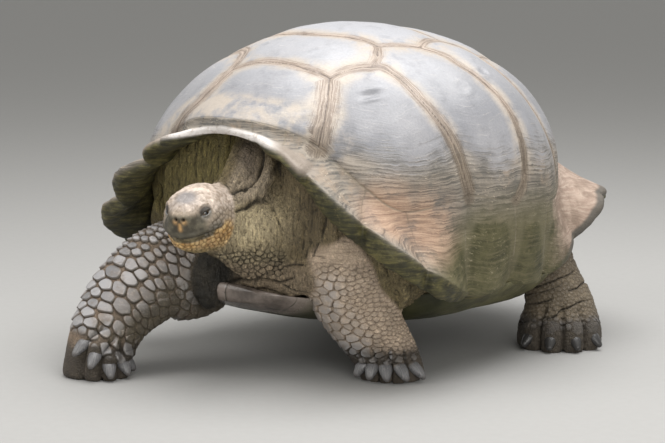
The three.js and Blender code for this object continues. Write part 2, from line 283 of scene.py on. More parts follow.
def fine_polyline(points, step):
    """The same path with points about `step` apart, and how far along each one lies."""
    points = np.asarray(points, float)
    lengths = np.linalg.norm(np.diff(points, axis=0), axis=1)
    along = np.concatenate([[0], np.cumsum(lengths)])
    count = max(int(along[-1] / step), 2)
    want = np.linspace(0, along[-1], count + 1)
    return np.stack([np.interp(want, along, points[:, c]) for c in range(points.shape[1])], 1), want


# ---- the shell's surface ------------------------------------------------------------------
def on_side(side):
    """Factors that mirror points to their own side of the midline."""
    return np.stack([side, np.ones_like(side), np.ones_like(side)], 1)


def outward_from(rim):
    return unit(rim * [1, 1, 0] + [0, 60, 0])


def along_seams(keys, t):
    """t is 0 at the front midline and 1 at the rear; the ring is closed by mirroring its ends."""
    flip = np.array([-1, 1, 1]) if keys.shape[1] == 3 else 1
    ring = np.vstack([keys[1] * flip, keys, keys[-2] * flip])
    return catmull_rom(ring, (1 + np.asarray(t) * SEAMS) / (len(ring) - 1))


def dome(t, v):
    foot = along_seams(TOP_KEYS, t)
    straight = along_seams(STRAIGHT_KEYS, t)[..., 0]
    out = np.sin(v * np.pi / 2)
    drop = mix(1 - np.cos(v * np.pi / 2), np.maximum(out, 0) ** 1.65, straight)
    return APEX + (foot - APEX) * np.stack([out, out, drop], -1)


def shell_surface(t, v):
    """Half of the shell's outer face: v is 0 at the top, 1 where the marginals start, 2 at the edge."""
    t, v = np.broadcast_arrays(np.asarray(t, float), np.asarray(v, float))
    upper = dome(t, np.minimum(v, 1))
    top = dome(t, np.ones_like(t))
    rim = along_seams(RIM_KEYS, t)
    hang = mix(0.45, 0.18, smoothstep(0.65, 0.82, t))[..., None]
    slope = unit(top - dome(t, np.full_like(t, 0.99)))
    bend = top + slope * hang * np.linalg.norm(rim - top, axis=-1, keepdims=True)
    w = np.clip(v - 1, 0, None)[..., None]
    scallop = SCALLOP * mix(0.15, 1, smoothstep(2.2, 3.4, t * SEAMS))
    bulge = w * w * (scallop * np.abs(np.sin(np.pi * t * SEAMS)))[..., None]
    outward = outward_from(rim)
    lower = top * (1 - w) ** 2 + bend * 2 * w * (1 - w) + rim * w * w + outward * bulge
    return np.where((v <= 1)[..., None], upper, lower)


def shell_ring(v, count, depth=0.0):
    """A closed ring of points on the shell at height v, `depth` below its outer face."""
    u = np.arange(count) / count
    side = np.where(u <= 0.5, 1.0, -1.0)
    t = np.where(u <= 0.5, 2 * u, 2 - 2 * u)
    v = np.broadcast_to(np.asarray(v, float), t.shape)
    points = shell_surface(t, v)
    if np.any(depth):
        inner = np.clip(t, 0.01, 0.99)
        lower, upper = np.minimum(v + 0.01, 2), np.maximum(v - 0.01, 0)
        along_t = shell_surface(inner + 0.01, v) - shell_surface(inner - 0.01, v)
        along_v = shell_surface(inner, lower) - shell_surface(inner, upper)
        normal = unit(np.cross(along_v, along_t))
        flat = (t < 1e-6) | (t > 1 - 1e-6)
        normal[flat, 0] = 0
        points = points - unit(normal) * np.reshape(depth, (-1, 1))
    return points * on_side(side), t, side


# ---- the shell's scutes -------------------------------------------------------------------
# Seams are drawn on a flat chart of the dome: metres from the apex toward the marginals' top
# line, which lies at v = 1. Each is (half width of its worn band in mm, points on the left side).
V_COSTAL = [0.96, 0.945, 0.97, 1.10, 1.03, 1.06, 0.99, 1.01, 1.02, 1.0, 1.0, 1.0, 1.0]
J1, J2, J3, J4 = (.102, -.164), (.136, -.113), (.105, -.063), (.135, -.006)
J5, J6, J7 = (.118, .062), (.145, .13), (.10, .235)
LEFT_SEAMS = {
    "v1_c1": (23, [J1, (.120, -.19), (.133, -.209), (.146, -.23), (.159, -.25), (.18, -.29), (.212, -.352)]),
    "v2_c1": (15, [J1, (.108, -.137), (.121, -.12), J2]),
    "v2_c2": (13, [J2, (.125, -.09), J3]),
    "v3_c2": (10, [J3, (.116, -.036), J4]),
    "v3_c3": (10, [J4, (.122, .02), J5]),
    "v4_c3": (8, [J5, (.124, .10), J6]),
    "v4_c4": (8, [J6, (.125, .18), J7]),
    "v5_c4": (9, [J7, (.12, .31), (.165, .42), (.19, .49)]),
    "c1_c2": (15, [J2, (.15, -.102), (.184, -.101), (.22, -.10), (.256, -.098), (.292, -.094),
                   (.352, -.095), (.398, -.095)]),
    "c2_c3": (11, [J4, (.165, .017), (.181, .02), (.223, .039), (.252, .052), (.282, .062),
                   (.316, .065), (.349, .066), (.399, .058), (.428, .032)]),
    "c3_c4": (10, [J6, (.20, .15), (.26, .185), (.32, .23), (.368, .26)]),
}
RIGHT_SEAMS = {
    "v1_c1": (25, [(-.086, -.166), (-.096, -.215), (-.111, -.262), (-.155, -.30), (-.215, -.36)]),
    "v2_c1": (14, [(-.086, -.166), (-.103, -.11), (-.125, -.10)]),
    "v2_c2": (9, [(-.125, -.10), (-.115, -.08), (-.1, -.062)]),
    "v3_c2": (7, [(-.1, -.062), (-.112, -.036), (-.132, -.008)]),
    "v3_c3": (7, [(-.132, -.008), (-.12, .02), (-.118, .062)]),
    "c1_c2": (12, [(-.125, -.10), (-.184, -.103), (-.25, -.10), (-.33, -.095), (-.398, -.095)]),
    "c2_c3": (11, [(-.132, -.008), (-.18, .02), (-.25, .05), (-.33, .066), (-.428, .032)]),
}
CROSS_SEAMS = {
    "v1_v2": (13, [(-.086, -.166), (-.053, -.158), (-.023, -.154), (.009, -.155), (.045, -.158),
                  (.075, -.161), J1]),
    "v2_v3": (10, [(-.1, -.062), (-.05, -.062), (.004, -.066), (.047, -.062), (.073, -.062), J3]),
    "v3_v4": (7, [(-.118, .062), (0, .068), J5]),
    "v4_v5": (8, [(-.10, .235), (0, .25), J7]),
}
CHART_T = np.linspace(0, 1, 2001)
CHART_TOP = (along_seams(TOP_KEYS, CHART_T) - APEX)[:, :2] / 1000
CHART_ANGLE = np.arctan2(CHART_TOP[:, 0], -CHART_TOP[:, 1])
CHART_REACH = np.linalg.norm(CHART_TOP, axis=1)


def from_chart(points):
    """Chart points to (t, v, side)."""
    points = np.asarray(points, float)
    angle = np.arctan2(np.abs(points[:, 0]), -points[:, 1])
    t = np.interp(angle, CHART_ANGLE, CHART_T)
    v = np.linalg.norm(points, axis=1) / np.interp(t, CHART_T, CHART_REACH)
    return t, v, np.where(points[:, 0] < 0, -1.0, 1.0)


def seam_samples():
    """Points along the seams: the worn, banded ones and the fine ones round the marginals."""
    banded, widths = [], []
    mirrored = [(width, [(-x, y) for x, y in points]) for name, (width, points) in LEFT_SEAMS.items()
                if name not in RIGHT_SEAMS]
    seams = [*LEFT_SEAMS.values(), *RIGHT_SEAMS.values(), *mirrored, *CROSS_SEAMS.values()]
    for width, points in seams:
        curve = catmull_rom(points, np.linspace(0, 1, 60))
        fine, _ = fine_polyline(curve * 1000, 2.0)
        t, v, side = from_chart(fine / 1000)
        xyz = shell_surface(t, v) * on_side(side)
        wobble = noise(xyz, 45, 5)[:, None] * [1.5, 1.5, 0] + noise(xyz, 14, 6)[:, None] * [0.8, 0.8, 0.4]
        banded.append(xyz + wobble)
        widths.append(np.full(len(xyz), float(width)))
    fine_lines = []
    for side in (1.0, -1.0):
        t = np.linspace(0, 1, 1200)
        v = np.interp(t * SEAMS, np.arange(SEAMS + 1), V_COSTAL)
        fine_lines.append(shell_surface(t, v) * [side, 1, 1])
        for k in range(SEAMS):
            v = np.linspace(V_COSTAL[k], 2, 90)
            bow = 0.06 / SEAMS * np.sin(np.pi * (v - 1)) * (1 if k % 2 else -1)
            fine_lines.append(shell_surface(k / SEAMS + bow * (k > 3), v) * [side, 1, 1])
    return np.vstack(banded), np.concatenate(widths), np.vstack(fine_lines)


def growth_grid(lines):
    """How far each place on the shell has grown from the seams, with rounded corners, in mm."""
    lines = lines[::3]
    heights = np.linspace(0, 2, 81)
    reach = 20.0
    rows = []
    for v in heights:
        places = shell_ring(v, 210)[0]
        gap = np.sqrt(((places[:, None] - lines[None]) ** 2).sum(-1))
        rows.append(-reach * np.log(np.exp(-gap / reach).sum(1) * 3.0 / reach + 1e-9))
    return heights, np.maximum(np.array(rows), 0)


def from_grid(heights, grid, v, u):
    """The grid's value at height v and u of the way round."""
    row = np.clip(np.interp(v, heights, np.arange(len(heights))), 0, len(heights) - 1.001)
    column = (u % 1) * grid.shape[1]
    r, c = row.astype(int), column.astype(int) % grid.shape[1]
    fr, fc = row - r, column - np.floor(column)
    c2 = (c + 1) % grid.shape[1]
    return (mix(grid[r, c], grid[r, c2], fc) * (1 - fr) + mix(grid[r + 1, c], grid[r + 1, c2], fc) * fr)


# ---- the carapace -------------------------------------------------------------------------
COLUMNS = 840
DOME_ROWS = 220
SKIRT_ROWS = 56


def scattered(values, count):
    return np.full(count, float(values)) if np.ndim(values) == 0 else values


def rim_sections(outer_end, t, side, thick, heel):
    """Rows that roll the edge over, down a blunt underside and back up inside the marginals."""
    count = len(t)
    ring = lambda v, depth: shell_ring(v, count, scattered(depth, count))[0]
    rim = ring(2.0, 0.0)
    inner_rim = ring(2.0, thick)
    outward = outward_from(rim)
    low = inner_rim + heel[:, None] * (-0.42 * outward + [0, 0, -0.9])
    belly = (rim + low) / 2 + 0.16 * np.linalg.norm(low - rim, axis=1, keepdims=True) * unit(
        outward + [0, 0, -0.5])
    keys = [ring(outer_end - 0.04, 0.0), ring(outer_end, 0.0), mix(ring(2.0, thick * 0.3), rim, 0.4),
            belly, low, ring(1.72, thick * 1.5 + heel * 0.5), ring(1.4, thick * 1.4), ring(1.15, thick * 1.2),
            ring(0.98, thick)]
    path = np.stack(keys, 0)
    places = np.concatenate([np.linspace(1, 4.4, 16)[1:], np.linspace(4.6, 8, 13)]) / (len(keys) - 1)
    rows = [catmull_rom(path, np.float64(p)) for p in places]
    return rows, places * (len(keys) - 1)


# Round the edge, as (seams from the front midline, millimetres) on the left and on the right.
HEEL = (([0, 2.2, 2.8, 3.5, 4.5, 5.3, 6, 8, 9, 12], [0, 0, 10, 38, 42, 34, 8, 0, 6, 10]),
        ([0, 2.2, 2.8, 3.5, 4.5, 5.3, 6, 8, 9, 12], [0, 0, 6, 16, 20, 18, 6, 0, 6, 10]))
# An extra flare between two seams and a notch at each seam, most of all at the front corners.
FLARE = (([0, 2.6, 3.4, 5.2, 6, 8.6, 9.5, 12], [0, 0, 7, 7, 0, 0, -7, 0]),
         ([0, 2.2, 3.2, 5.4, 6.2, 8.6, 9.5, 12], [0, 2, 13, 13, 0, 0, 5, 6]))
NOTCH = (([0, 2.4, 2.9, 5.4, 6.2, 8.4, 9, 12], [0, 0, 8, 9, 0, 0, 3, 4]),
         ([0, 1.8, 2.6, 5.4, 6.2, 8.4, 9, 12], [0, 2, 12, 10, 0, 0, 5, 6]))
# Worn dents in the polished plates: centre in metres, (length, width) and depth in millimetres.
DENTS = [((0.245, -0.325, 0.585), (26, 9), 5.0), ((0.215, -0.285, 0.612), (9, 9), 2.0),
         ((0.16, -0.43, 0.53), (22, 12), 1.6), ((0.33, -0.12, 0.60), (24, 12), 2.2),
         ((0.30, -0.02, 0.62), (16, 9), 2.4), ((0.06, -0.30, 0.65), (18, 10), 1.2)]
DENT_RUN = unit([0.75, 0.55, 0.35])


def build_carapace():
    _, t_full, side_full = shell_ring(1.0, COLUMNS)
    k = t_full * SEAMS
    skirt = np.linalg.norm(along_seams(RIM_KEYS, t_full) - along_seams(TOP_KEYS, t_full), axis=1)
    thick = np.interp(k, [0, 2, 3, 5, 6, 8, 9, 12], [20, 20, 15, 13, 12, 12, 13, 16])
    heel, flare, notch = (np.where(side_full > 0, np.interp(k, *left), np.interp(k, *right))
                          for left, right in (HEEL, FLARE, NOTCH))
    outer_end = 2 - np.clip(thick * 0.35 / skirt, 0, 0.4)
    to_seam = np.abs((k + 0.5) % 1 - 0.5)
    rim_full = along_seams(RIM_KEYS, t_full) * on_side(side_full)
    wear = notch * 0.35 * noise(rim_full, 26, 17) + flare * 0.25 * noise(rim_full, 14, 18)

    rings, heights, places, owners = [], [], [], []
    columns = lambda v: COLUMNS // 4 if v < 0.2 else COLUMNS // 2 if v < 0.45 else COLUMNS

    def add(points, v, place):
        rings.append(points)
        heights.append(np.broadcast_to(v, (len(points),)))
        places.append(np.full(len(points), float(place)))
        owners.append(np.arange(len(points)) * (COLUMNS // max(len(points), 1)))

    def flared(points, w):
        """Move skirt points out between seams and in at the seams; w is 1 at the very edge."""
        outward = outward_from(rim_full) + [0, 0, 0.25]
        lobe = flare * np.abs(np.sin(np.pi * k)) ** 0.8 - notch * bell(to_seam, 0.09) + wear
        return points + outward * (lobe * w)[:, None]

    for v in np.linspace(0, 1, DOME_ROWS + 1):
        add(shell_ring(v, 1 if v == 0 else columns(v))[0], v, 0)
    for w in np.linspace(0, 1, SKIRT_ROWS + 1)[1:]:
        v = 1 + w * (outer_end - 1)
        add(flared(shell_ring(v, COLUMNS)[0], w ** 2), v, w)
    rows, marks = rim_sections(outer_end, t_full, side_full, thick, heel)
    for points, mark in zip(rows, marks):
        add(flared(points, np.clip(1 - (mark - 4) / 3, 0, 1)), 2.0, mark)
    for v in (0.9, 0.8, 0.65, 0.5, 0.35, 0.2, 0.08):
        count = COLUMNS if v > 0.75 else COLUMNS // 2 if v > 0.4 else COLUMNS // 4
        add(shell_ring(v, count, np.full(count, 14.0))[0], v, 8.5)
    add(np.array([APEX - [0, 0, 14]]), 0, 9)

    points, quads, triangles = ring_mesh(rings)
    v = np.concatenate(heights)
    place = np.concatenate(places)
    owner = np.minimum(np.concatenate(owners), COLUMNS - 1)
    k_of = k[owner]
    normals = face_normals(points, [quads, triangles])
    if normals[0, 2] < 0:
        normals, quads, triangles = -normals, quads[:, ::-1], triangles[:, ::-1]

    banded, widths, fine_lines = seam_samples()
    growth = from_grid(*growth_grid(np.vstack([banded, fine_lines])), np.minimum(v, 2), owner / COLUMNS)
    outer = place <= 4.4
    to_band, band_at = np.full(len(points), 200.0), np.zeros(len(points), int)
    to_line = np.full(len(points), 200.0)
    to_band[outer], band_at[outer] = nearest(points[outer], banded)
    to_line[outer], _ = nearest(points[outer], fine_lines)
    marginal = smoothstep(0.97, 1.03, v / np.interp(k_of, np.arange(SEAMS + 1), V_COSTAL))
    # On the rolled edge the marginal seams run on round to the underside.
    rolled = place > 1.01
    to_line[rolled] = 95 * np.abs((k_of + 0.5) % 1 - 0.5)[rolled]
    band = to_band / widths[band_at]
    edge = np.minimum(to_band, to_line)
    # Round the front the marginals' edge is worn to one smooth roll.
    front = smoothstep(3.3, 2.8, k_of) * smoothstep(1.5, 1.72, v)

    # Relief: each scute is crowned, and sinks to its seams; worn bands lie a little lower.
    relief = 3.4 * (1 - bell(growth, 24)) - 1.7
    relief = relief - 1.4 * bell(to_band, 2.6) - 1.2 * bell(to_line, 2.4)
    relief = relief - 0.8 * (1 - smoothstep(0.7, 1.2, band))
    relief = relief * mix(1, 0.12, front)
    relief = relief + 1.3 * fractal(points, 95, 3, 11) + 0.35 * noise(points, 22, 3)
    rough = smoothstep(540, 440, points[:, 2] + 40 * noise(points, 120, 21)) * outer * (1 - front)
    level = 0.3 * growth + 0.95 * points[:, 2] + 5 * noise(points, 50, 7)
    layers = np.stack([level, 0.07 * points[:, 0], 0.07 * points[:, 1]], 1)
    ringed = noise(layers, 7, 8) + 0.8 * noise(layers, 4.5, 9)
    relief = relief + 0.22 * rough * ringed * mix(1, 0.3, smoothstep(60, 130, growth))
    for centre, (long, short), depth in DENTS:
        away = points - np.array(centre) * 1000
        along = away @ DENT_RUN
        across = np.sqrt(np.maximum((away ** 2).sum(1) - along ** 2, 0))
        pit = bell(along, long) * bell(across + 0.004 * along ** 2, short)
        rim = 0.5 * depth * bell(along, long) * bell(across - short * 1.7, short * 0.6)
        relief = relief - depth * pit + rim
    under = smoothstep(2.2, 3.4, place + 1.0 * smoothstep(10, 26, heel[owner]))
    layers = np.sin(points[:, 2] / 2.4 + 3 * noise(points, 40, 28))
    under_relief = 0.5 * noise(points, 16, 9) + smoothstep(10, 30, heel[owner]) * (
        1.6 * fractal(points * [1, 1, 0.5], 26, 3, 27) + 1.2 * layers)
    relief = np.where(outer, relief, 0) * (1 - under) + under_relief * under * (place < 6)
    points = points + normals * relief[:, None]

    obj = new_mesh("shell", points, [quads, triangles])
    set_attributes(obj, growth=growth, edge=edge, band=np.minimum(band, 6), line=to_line, seam=to_band,
                   marginal=marginal, front=front, under=under, rim=np.minimum(place, 1) * outer, k=k_of)
    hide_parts("carapace")
    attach(obj, "root")
    return obj


# ---- the plastron -------------------------------------------------------------------------
PLASTRON_STATIONS = [
    [66, -500, 4, 64, 15], [58, -478, 8, 112, 21], [30, -400, 24, 165, 18], [6, -290, 38, 205, 15],
    [0, -190, 74, 372, 15], [0, -40, 71, 388, 15], [0, 105, 73, 381, 15], [4, 185, 66, 296, 15],
    [10, 270, 40, 225, 15], [16, 370, 30, 185, 15], [20, 420, 26, 100, 13]]
PLASTRON_SEAMS_Y = [-440, -350, -215, 25, 190, 330]


def build_plastron():
    rows, columns = 230, 160
    u = np.arange(columns) / columns
    across, upward = np.cos(2 * np.pi * u), np.sin(2 * np.pi * u)
    rings = []
    for row in range(rows + 1):
        s = (1 - math.cos(math.pi * row / rows)) / 2
        lift, y, rise, half_wide, half_thick = catmull_rom(PLASTRON_STATIONS, np.float64(s))
        if row in (0, rows):
            rings.append(np.array([[0, y, PLASTRON_FLOOR + half_thick + lift]]))
            continue
        shrink = math.sqrt(min(1, min(s, 1 - s) / 0.05))
        thick = half_thick * math.sqrt(shrink)
        x = across * half_wide * shrink
        z = (PLASTRON_FLOOR + half_thick + lift + rise * np.abs(across) ** 5
             + thick * np.sign(upward) * np.abs(upward) ** mix(1.0, 0.6, smoothstep(-470, -390, y)))
        rings.append(np.stack([x, np.full(columns, y), z], 1))
    points, quads, triangles = ring_mesh(rings)
    normals = face_normals(points, [quads, triangles])
    if (normals * (points - points.mean(0))).sum() < 0:
        normals, quads, triangles = -normals, quads[:, ::-1], triangles[:, ::-1]
    x, y, z = points.T
    crossings = [at + 18 * np.cos(x / 60) + 0.1 * np.abs(x) for at in PLASTRON_SEAMS_Y]
    to_cross = np.min([np.abs(y - crossing) for crossing in crossings], 0)
    to_middle = np.abs(x + 4 * np.sin(y / 60))
    edge = np.minimum(to_cross, to_middle)
    relief = -1.6 * bell(edge, 3) + 1.5 * fractal(points, 80, 3, 41)
    pad = smoothstep(-380, -440, y)
    ribs = np.sin(edge * 2 * np.pi / 11 + noise(points, 50, 7)) * smoothstep(4, 12, edge)
    relief = relief * mix(1, 0.4, pad) + 0.5 * ribs * (1 - pad)
    points = points + normals * relief[:, None]
    obj = new_mesh("belly_plate", points, [quads, triangles])
    set_attributes(obj, edge=edge, lip=pad)
    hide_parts("plastron")
    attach(obj, "root")
    return obj


# ---- materials ----------------------------------------------------------------------------
class Value:
    """What flows through a material's node tree; sums, products and steps of it add nodes."""

    def __init__(self, shader, socket):
        self.shader, self.socket = shader, socket

    def __add__(self, other):
        return self.shader.math("ADD", self, other)

    def __sub__(self, number):
        return self + -number

    def __mul__(self, other):
        return self.shader.math("MULTIPLY", self, other)

    __radd__, __rmul__ = __add__, __mul__

    def step(self, low, high, out_low=0.0, out_high=1.0):
        """A smooth step from out_low at low to out_high at high."""
        if low > high:
            low, high, out_low, out_high = high, low, out_high, out_low
        sockets = {"Value": self, "From Min": low, "From Max": high, "To Min": out_low, "To Max": out_high}
        return self.shader.node("MapRange", "Result", sockets, interpolation_type="SMOOTHSTEP")


class Shader:
    """A material's node tree, with short calls for the nodes that the tortoise uses."""

    def __init__(self, name):
        self.material = bpy.data.materials.new(name)
        self.material.use_nodes = True
        self.tree = self.material.node_tree
        self.surface = self.tree.nodes["Principled BSDF"]
        self.place = self.node("TexCoord", "Object")

    def put(self, socket, value):
        if isinstance(value, Value):
            self.tree.links.new(value.socket, socket)
        elif isinstance(value, (tuple, list)):
            socket.default_value = (*value, 1.0) if len(socket.default_value) == 4 else value
        else:
            socket.default_value = value

    def node(self, kind, output, sockets=(), **settings):
        """A new node's output; `sockets` maps its inputs to values."""
        node = self.tree.nodes.new("ShaderNode" + kind)
        for name, value in settings.items():
            setattr(node, name, value)
        for name, value in dict(sockets).items():
            self.put(node.inputs[name], value)
        return Value(self, node.outputs[output])

    def attribute(self, name, output="Fac"):
        return self.node("Attribute", output, attribute_name=name)

    def attributes(self, names):
        return [self.attribute(name) for name in names.split()]

    def axes(self):
        return [self.node("SeparateXYZ", axis, {0: self.place}) for axis in range(3)]

    def math(self, operation, a, b):
        return self.node("Math", 0, {0: a, 1: b}, operation=operation)

    def noise(self, size, detail=4.0, roughness=0.55, vector=None, distortion=0.0):
        """Noise with lumps `size` metres apart, about 0.5 in the middle."""
        return self.node("TexNoise", "Fac", {
            "Vector": vector or self.place, "Scale": 1 / size, "Detail": detail, "Roughness": roughness,
            "Distortion": distortion})

    def cell_edge(self, size, vector=None):
        """Distance to the edge of the cell, with cells `size` metres across."""
        return self.node("TexVoronoi", "Distance", {"Vector": vector or self.place, "Scale": 1 / size},
                         feature="DISTANCE_TO_EDGE")

    def vector(self, x, y, z):
        return self.node("CombineXYZ", 0, {0: x, 1: y, 2: z})

    def near(self, centre, radius):
        """1 close to a point given in millimetres and 0 beyond `radius` metres."""
        there = tuple(np.array(centre) / 1000 + FRAME_SHIFT)
        away = self.node("VectorMath", "Value", {0: self.place, 1: there}, operation="DISTANCE")
        return away.step(radius, 0.2 * radius)

    def mix(self, weight, a, b, blend="MIX"):
        return self.node("Mix", 2, {0: weight, 6: a, 7: b}, data_type="RGBA", blend_type=blend,
                         clamp_factor=True)

    def coats(self, base, layers):
        """Lay (weight, colour) over a colour, one after another; a colour marked "times" scales it."""
        for weight, colour, *times in layers:
            base = self.mix(weight, base, self.mix(1.0, base, colour, "MULTIPLY") if times else colour)
        return base

    def finish(self, colour, roughness, height, distance, strength, **sockets):
        bump = {"Distance": distance, "Strength": strength, "Height": height}
        inputs = {"Base Color": colour, "Roughness": roughness, "Normal": self.node("Bump", 0, bump)}
        for name, value in [*inputs.items(), *sockets.items()]:
            self.put(self.surface.inputs[name.replace("_", " ")], value)
        return self.material


def shell_material():
    s = Shader("shell_horn")
    edge, growth, band, line, seam = s.attributes("edge growth band line seam")
    marginal, front, under, k, rim = s.attributes("marginal front under k rim")
    x, y, z = s.axes()
    broad = s.noise(0.17, 3)
    mottle = s.noise(0.045, 6, 0.6)
    grit = s.noise(0.012, 6, 0.7)
    fine = s.noise(0.005, 6, 0.65)
    # Streaks that follow the seams, from the layers that each scute grew by.
    wavy = growth * 0.3 + z * 950 + (mottle - 0.5) * 16
    streak = s.noise(1.0, 3, 0.55, s.vector(wavy * 0.27, x * 13, y * 13), 0.35)
    thin = s.noise(1.0, 3, 0.6, s.vector(wavy * 0.45, x * 20, y * 20), 0.35)
    fleck_place = s.vector(wavy * 0.34, x * 95, (y + z) * 95)
    fleck = s.noise(1.0, 3, 0.7, fleck_place, 0.3).step(0.58, 0.68)
    scratched = fleck * (s.noise(0.07, 3) + (grit - 0.5) * 0.4).step(0.46, 0.64)
    frayed = edge + (mottle - 0.5) * 9
    grain = s.noise(1.0, 5, 0.65, s.vector(frayed * 0.42, x * 15, (y + z) * 15), 0.5)
    # High plates are worn smooth and blue-grey; low ones keep their layers.
    height = z + (mottle - 0.5) * 0.1
    height = height + (broad - 0.5) * 0.16
    height = height + (streak - 0.5) * 0.16
    polished = height.step(0.4, 0.51) * marginal.step(0.9, 0.1)
    # The polished horn is painted lighter toward the top of the dome: partly its wear, partly painted light
    # from above.
    smooth = s.mix(z.step(0.54, 0.69), (0.225, 0.228, 0.246), (0.36, 0.364, 0.388))
    smooth = s.coats(smooth, [
        (broad.step(0.4, 0.7) * 0.5, (0.38, 0.37, 0.38)),
        (mottle.step(0.48, 0.3) * 0.35, (0.15, 0.152, 0.168)),
        (thin.step(0.56, 0.7) * 0.3, (0.44, 0.415, 0.4)),
        (thin.step(0.68, 0.74) * broad.step(0.42, 0.6), (0.6, 0.58, 0.56)),
        (growth.step(30, 10) * mottle.step(0.35, 0.6), (0.42, 0.37, 0.32))])
    layered = s.mix(streak.step(0.34, 0.64), (0.092, 0.084, 0.073), (0.265, 0.232, 0.193))
    layered = s.coats(layered, [
        (thin.step(0.5, 0.64) * 0.35, (0.33, 0.28, 0.22)),
        (mottle.step(0.5, 0.68) * broad.step(0.35, 0.6), (0.29, 0.225, 0.165)),
        (mottle.step(0.46, 0.34) * 0.5, (0.1, 0.098, 0.092)),
        (scratched * 0.8, (0.58, 0.5, 0.39))])
    low = s.mix(mottle.step(0.35, 0.65), (0.046, 0.044, 0.013), (0.104, 0.094, 0.04))
    low = s.coats(low, [
        (streak.step(0.48, 0.66) * 0.55, (0.15, 0.128, 0.068)),
        (streak.step(0.42, 0.3) * 0.55, (0.03, 0.028, 0.01)),
        (grit.step(0.56, 0.7) * 0.5, (0.19, 0.16, 0.09)),
        (growth.step(12, 3) * 0.4, (0.19, 0.165, 0.1)),
        (scratched * 0.6, (0.38, 0.33, 0.22))])
    lowness = z + (mottle - 0.5) * 0.08 + k.step(6.3, 4.9, 0, 0.11)
    base = s.mix(lowness.step(0.41, 0.3), layered, low)
    base = s.mix(polished, base, smooth)
    # The smooth front roll, with a pale worn edge.
    roll = s.mix(mottle.step(0.3, 0.7), (0.6, 0.565, 0.54), (0.78, 0.745, 0.72))
    roll = s.coats(roll, [
        (grit.step(0.5, 0.66) * 0.5, (0.34, 0.27, 0.21)),
        (k.step(1.3, 2.1), s.mix(grit, (0.17, 0.135, 0.105), (0.34, 0.29, 0.245)))])
    base = s.mix(front, base, roll)
    # Warm, freshly grown horn over the left front leg, and at the rear flare.
    warm = s.math("MAXIMUM", s.near((345, -388, 356), 0.105), s.near((388, -316, 330), 0.115))
    warm = warm * (broad + mottle + (streak - 0.5) * 0.7).step(0.5, 1.1)
    fresh = s.mix(streak.step(0.3, 0.7), (0.29, 0.175, 0.115), (0.5, 0.335, 0.23))
    fresh = s.mix(mottle.step(0.5, 0.34) * 0.5, fresh, (0.25, 0.145, 0.1))
    base = s.mix(warm * 0.85, base, fresh)
    rear = k + (mottle - 0.5) * 0.9
    flare = rear.step(8.1, 8.8) * k.step(12.3, 11.7)
    flare = flare * (marginal + mottle * 0.5).step(0.75, 1.1)
    pink = s.mix(streak.step(0.3, 0.7), (0.31, 0.215, 0.17), (0.46, 0.35, 0.285))
    pink = s.coats(pink, [
        (thin.step(0.5, 0.66) * 0.5, (0.52, 0.42, 0.34)),
        (mottle.step(0.56, 0.38) * 0.65, (0.215, 0.15, 0.112)),
        (rim.step(0.92, 0.98) * k.step(10.9, 10.2) * 0.85, (0.05, 0.052, 0.05))])
    base = s.mix(flare * 0.85, base, pink)
    # Worn bands along the seams of the dome.
    ragged = band + (mottle - 0.5) * 1.3 + (grit - 0.5) * 0.8
    ragged = ragged + (grain - 0.5) * 1.1
    in_band = ragged.step(1.5, 0.55) * z.step(0.28, 0.4)
    pale = s.mix(grain.step(0.38, 0.62), (0.19, 0.14, 0.105), (0.43, 0.35, 0.29))
    tan = s.mix(grain.step(0.38, 0.62), (0.095, 0.072, 0.05), (0.235, 0.185, 0.135))
    worn = s.mix((z + (mottle - 0.5) * 0.16).step(0.44, 0.6), tan, pale)
    base = s.mix(in_band * 0.88, base, worn)
    side_line = ragged.step(1.5, 1.15) * ragged.step(0.8, 1.05)
    base = s.coats(base, [
        (side_line * 0.5 * broad.step(0.45, 0.6), (0.4, 0.345, 0.28)),
        # The seam lines themselves.
        (seam.step(2.6, 0.8) * grit.step(0.25, 0.55, 0.2, 0.8), (0.075, 0.052, 0.038))])
    line_tone = s.mix(mottle.step(0.4, 0.6), (0.055, 0.045, 0.028), (0.24, 0.205, 0.15))
    base = s.mix(line.step(2.8, 0.8, 0, 0.6) * (mottle.step(0.3, 0.6) + front * -0.8), base, line_tone)
    # Undersides and the inside are dark and greenish.
    dark = s.mix(mottle.step(0.3, 0.7), (0.03, 0.029, 0.007), (0.115, 0.1, 0.034))
    dark = s.mix(grit.step(0.52, 0.7) * 0.5, dark, (0.19, 0.16, 0.07))
    layers = s.noise(1.0, 4, 0.6, s.vector(x * 26, y * 26, z * 170), 0.4)
    dark = s.coats(dark, [
        (layers.step(0.6, 0.4), (0.4, 0.4, 0.38), "times"),
        (layers.step(0.58, 0.7), (1.5, 1.45, 1.35), "times")])
    base = s.mix(under, base, dark)
    base = s.mix(0.25, base, s.mix(fine, (0.05, 0.05, 0.05), (0.95, 0.95, 0.95)), "OVERLAY")
    rough = polished.step(0, 1, 0.6, 0.33) + (grit - 0.5) * 0.3
    rough = rough + front * -0.06 * (1.0 + under * -1.0)
    bumps = streak * polished.step(0, 1, 0.7, 0.2) + fine * 0.3
    bumps = bumps + grain * in_band * 1.2
    bumps = bumps + thin * polished.step(0, 1, 0.55, 0.15)
    return s.finish(base, rough, bumps, 0.0018, 0.8)


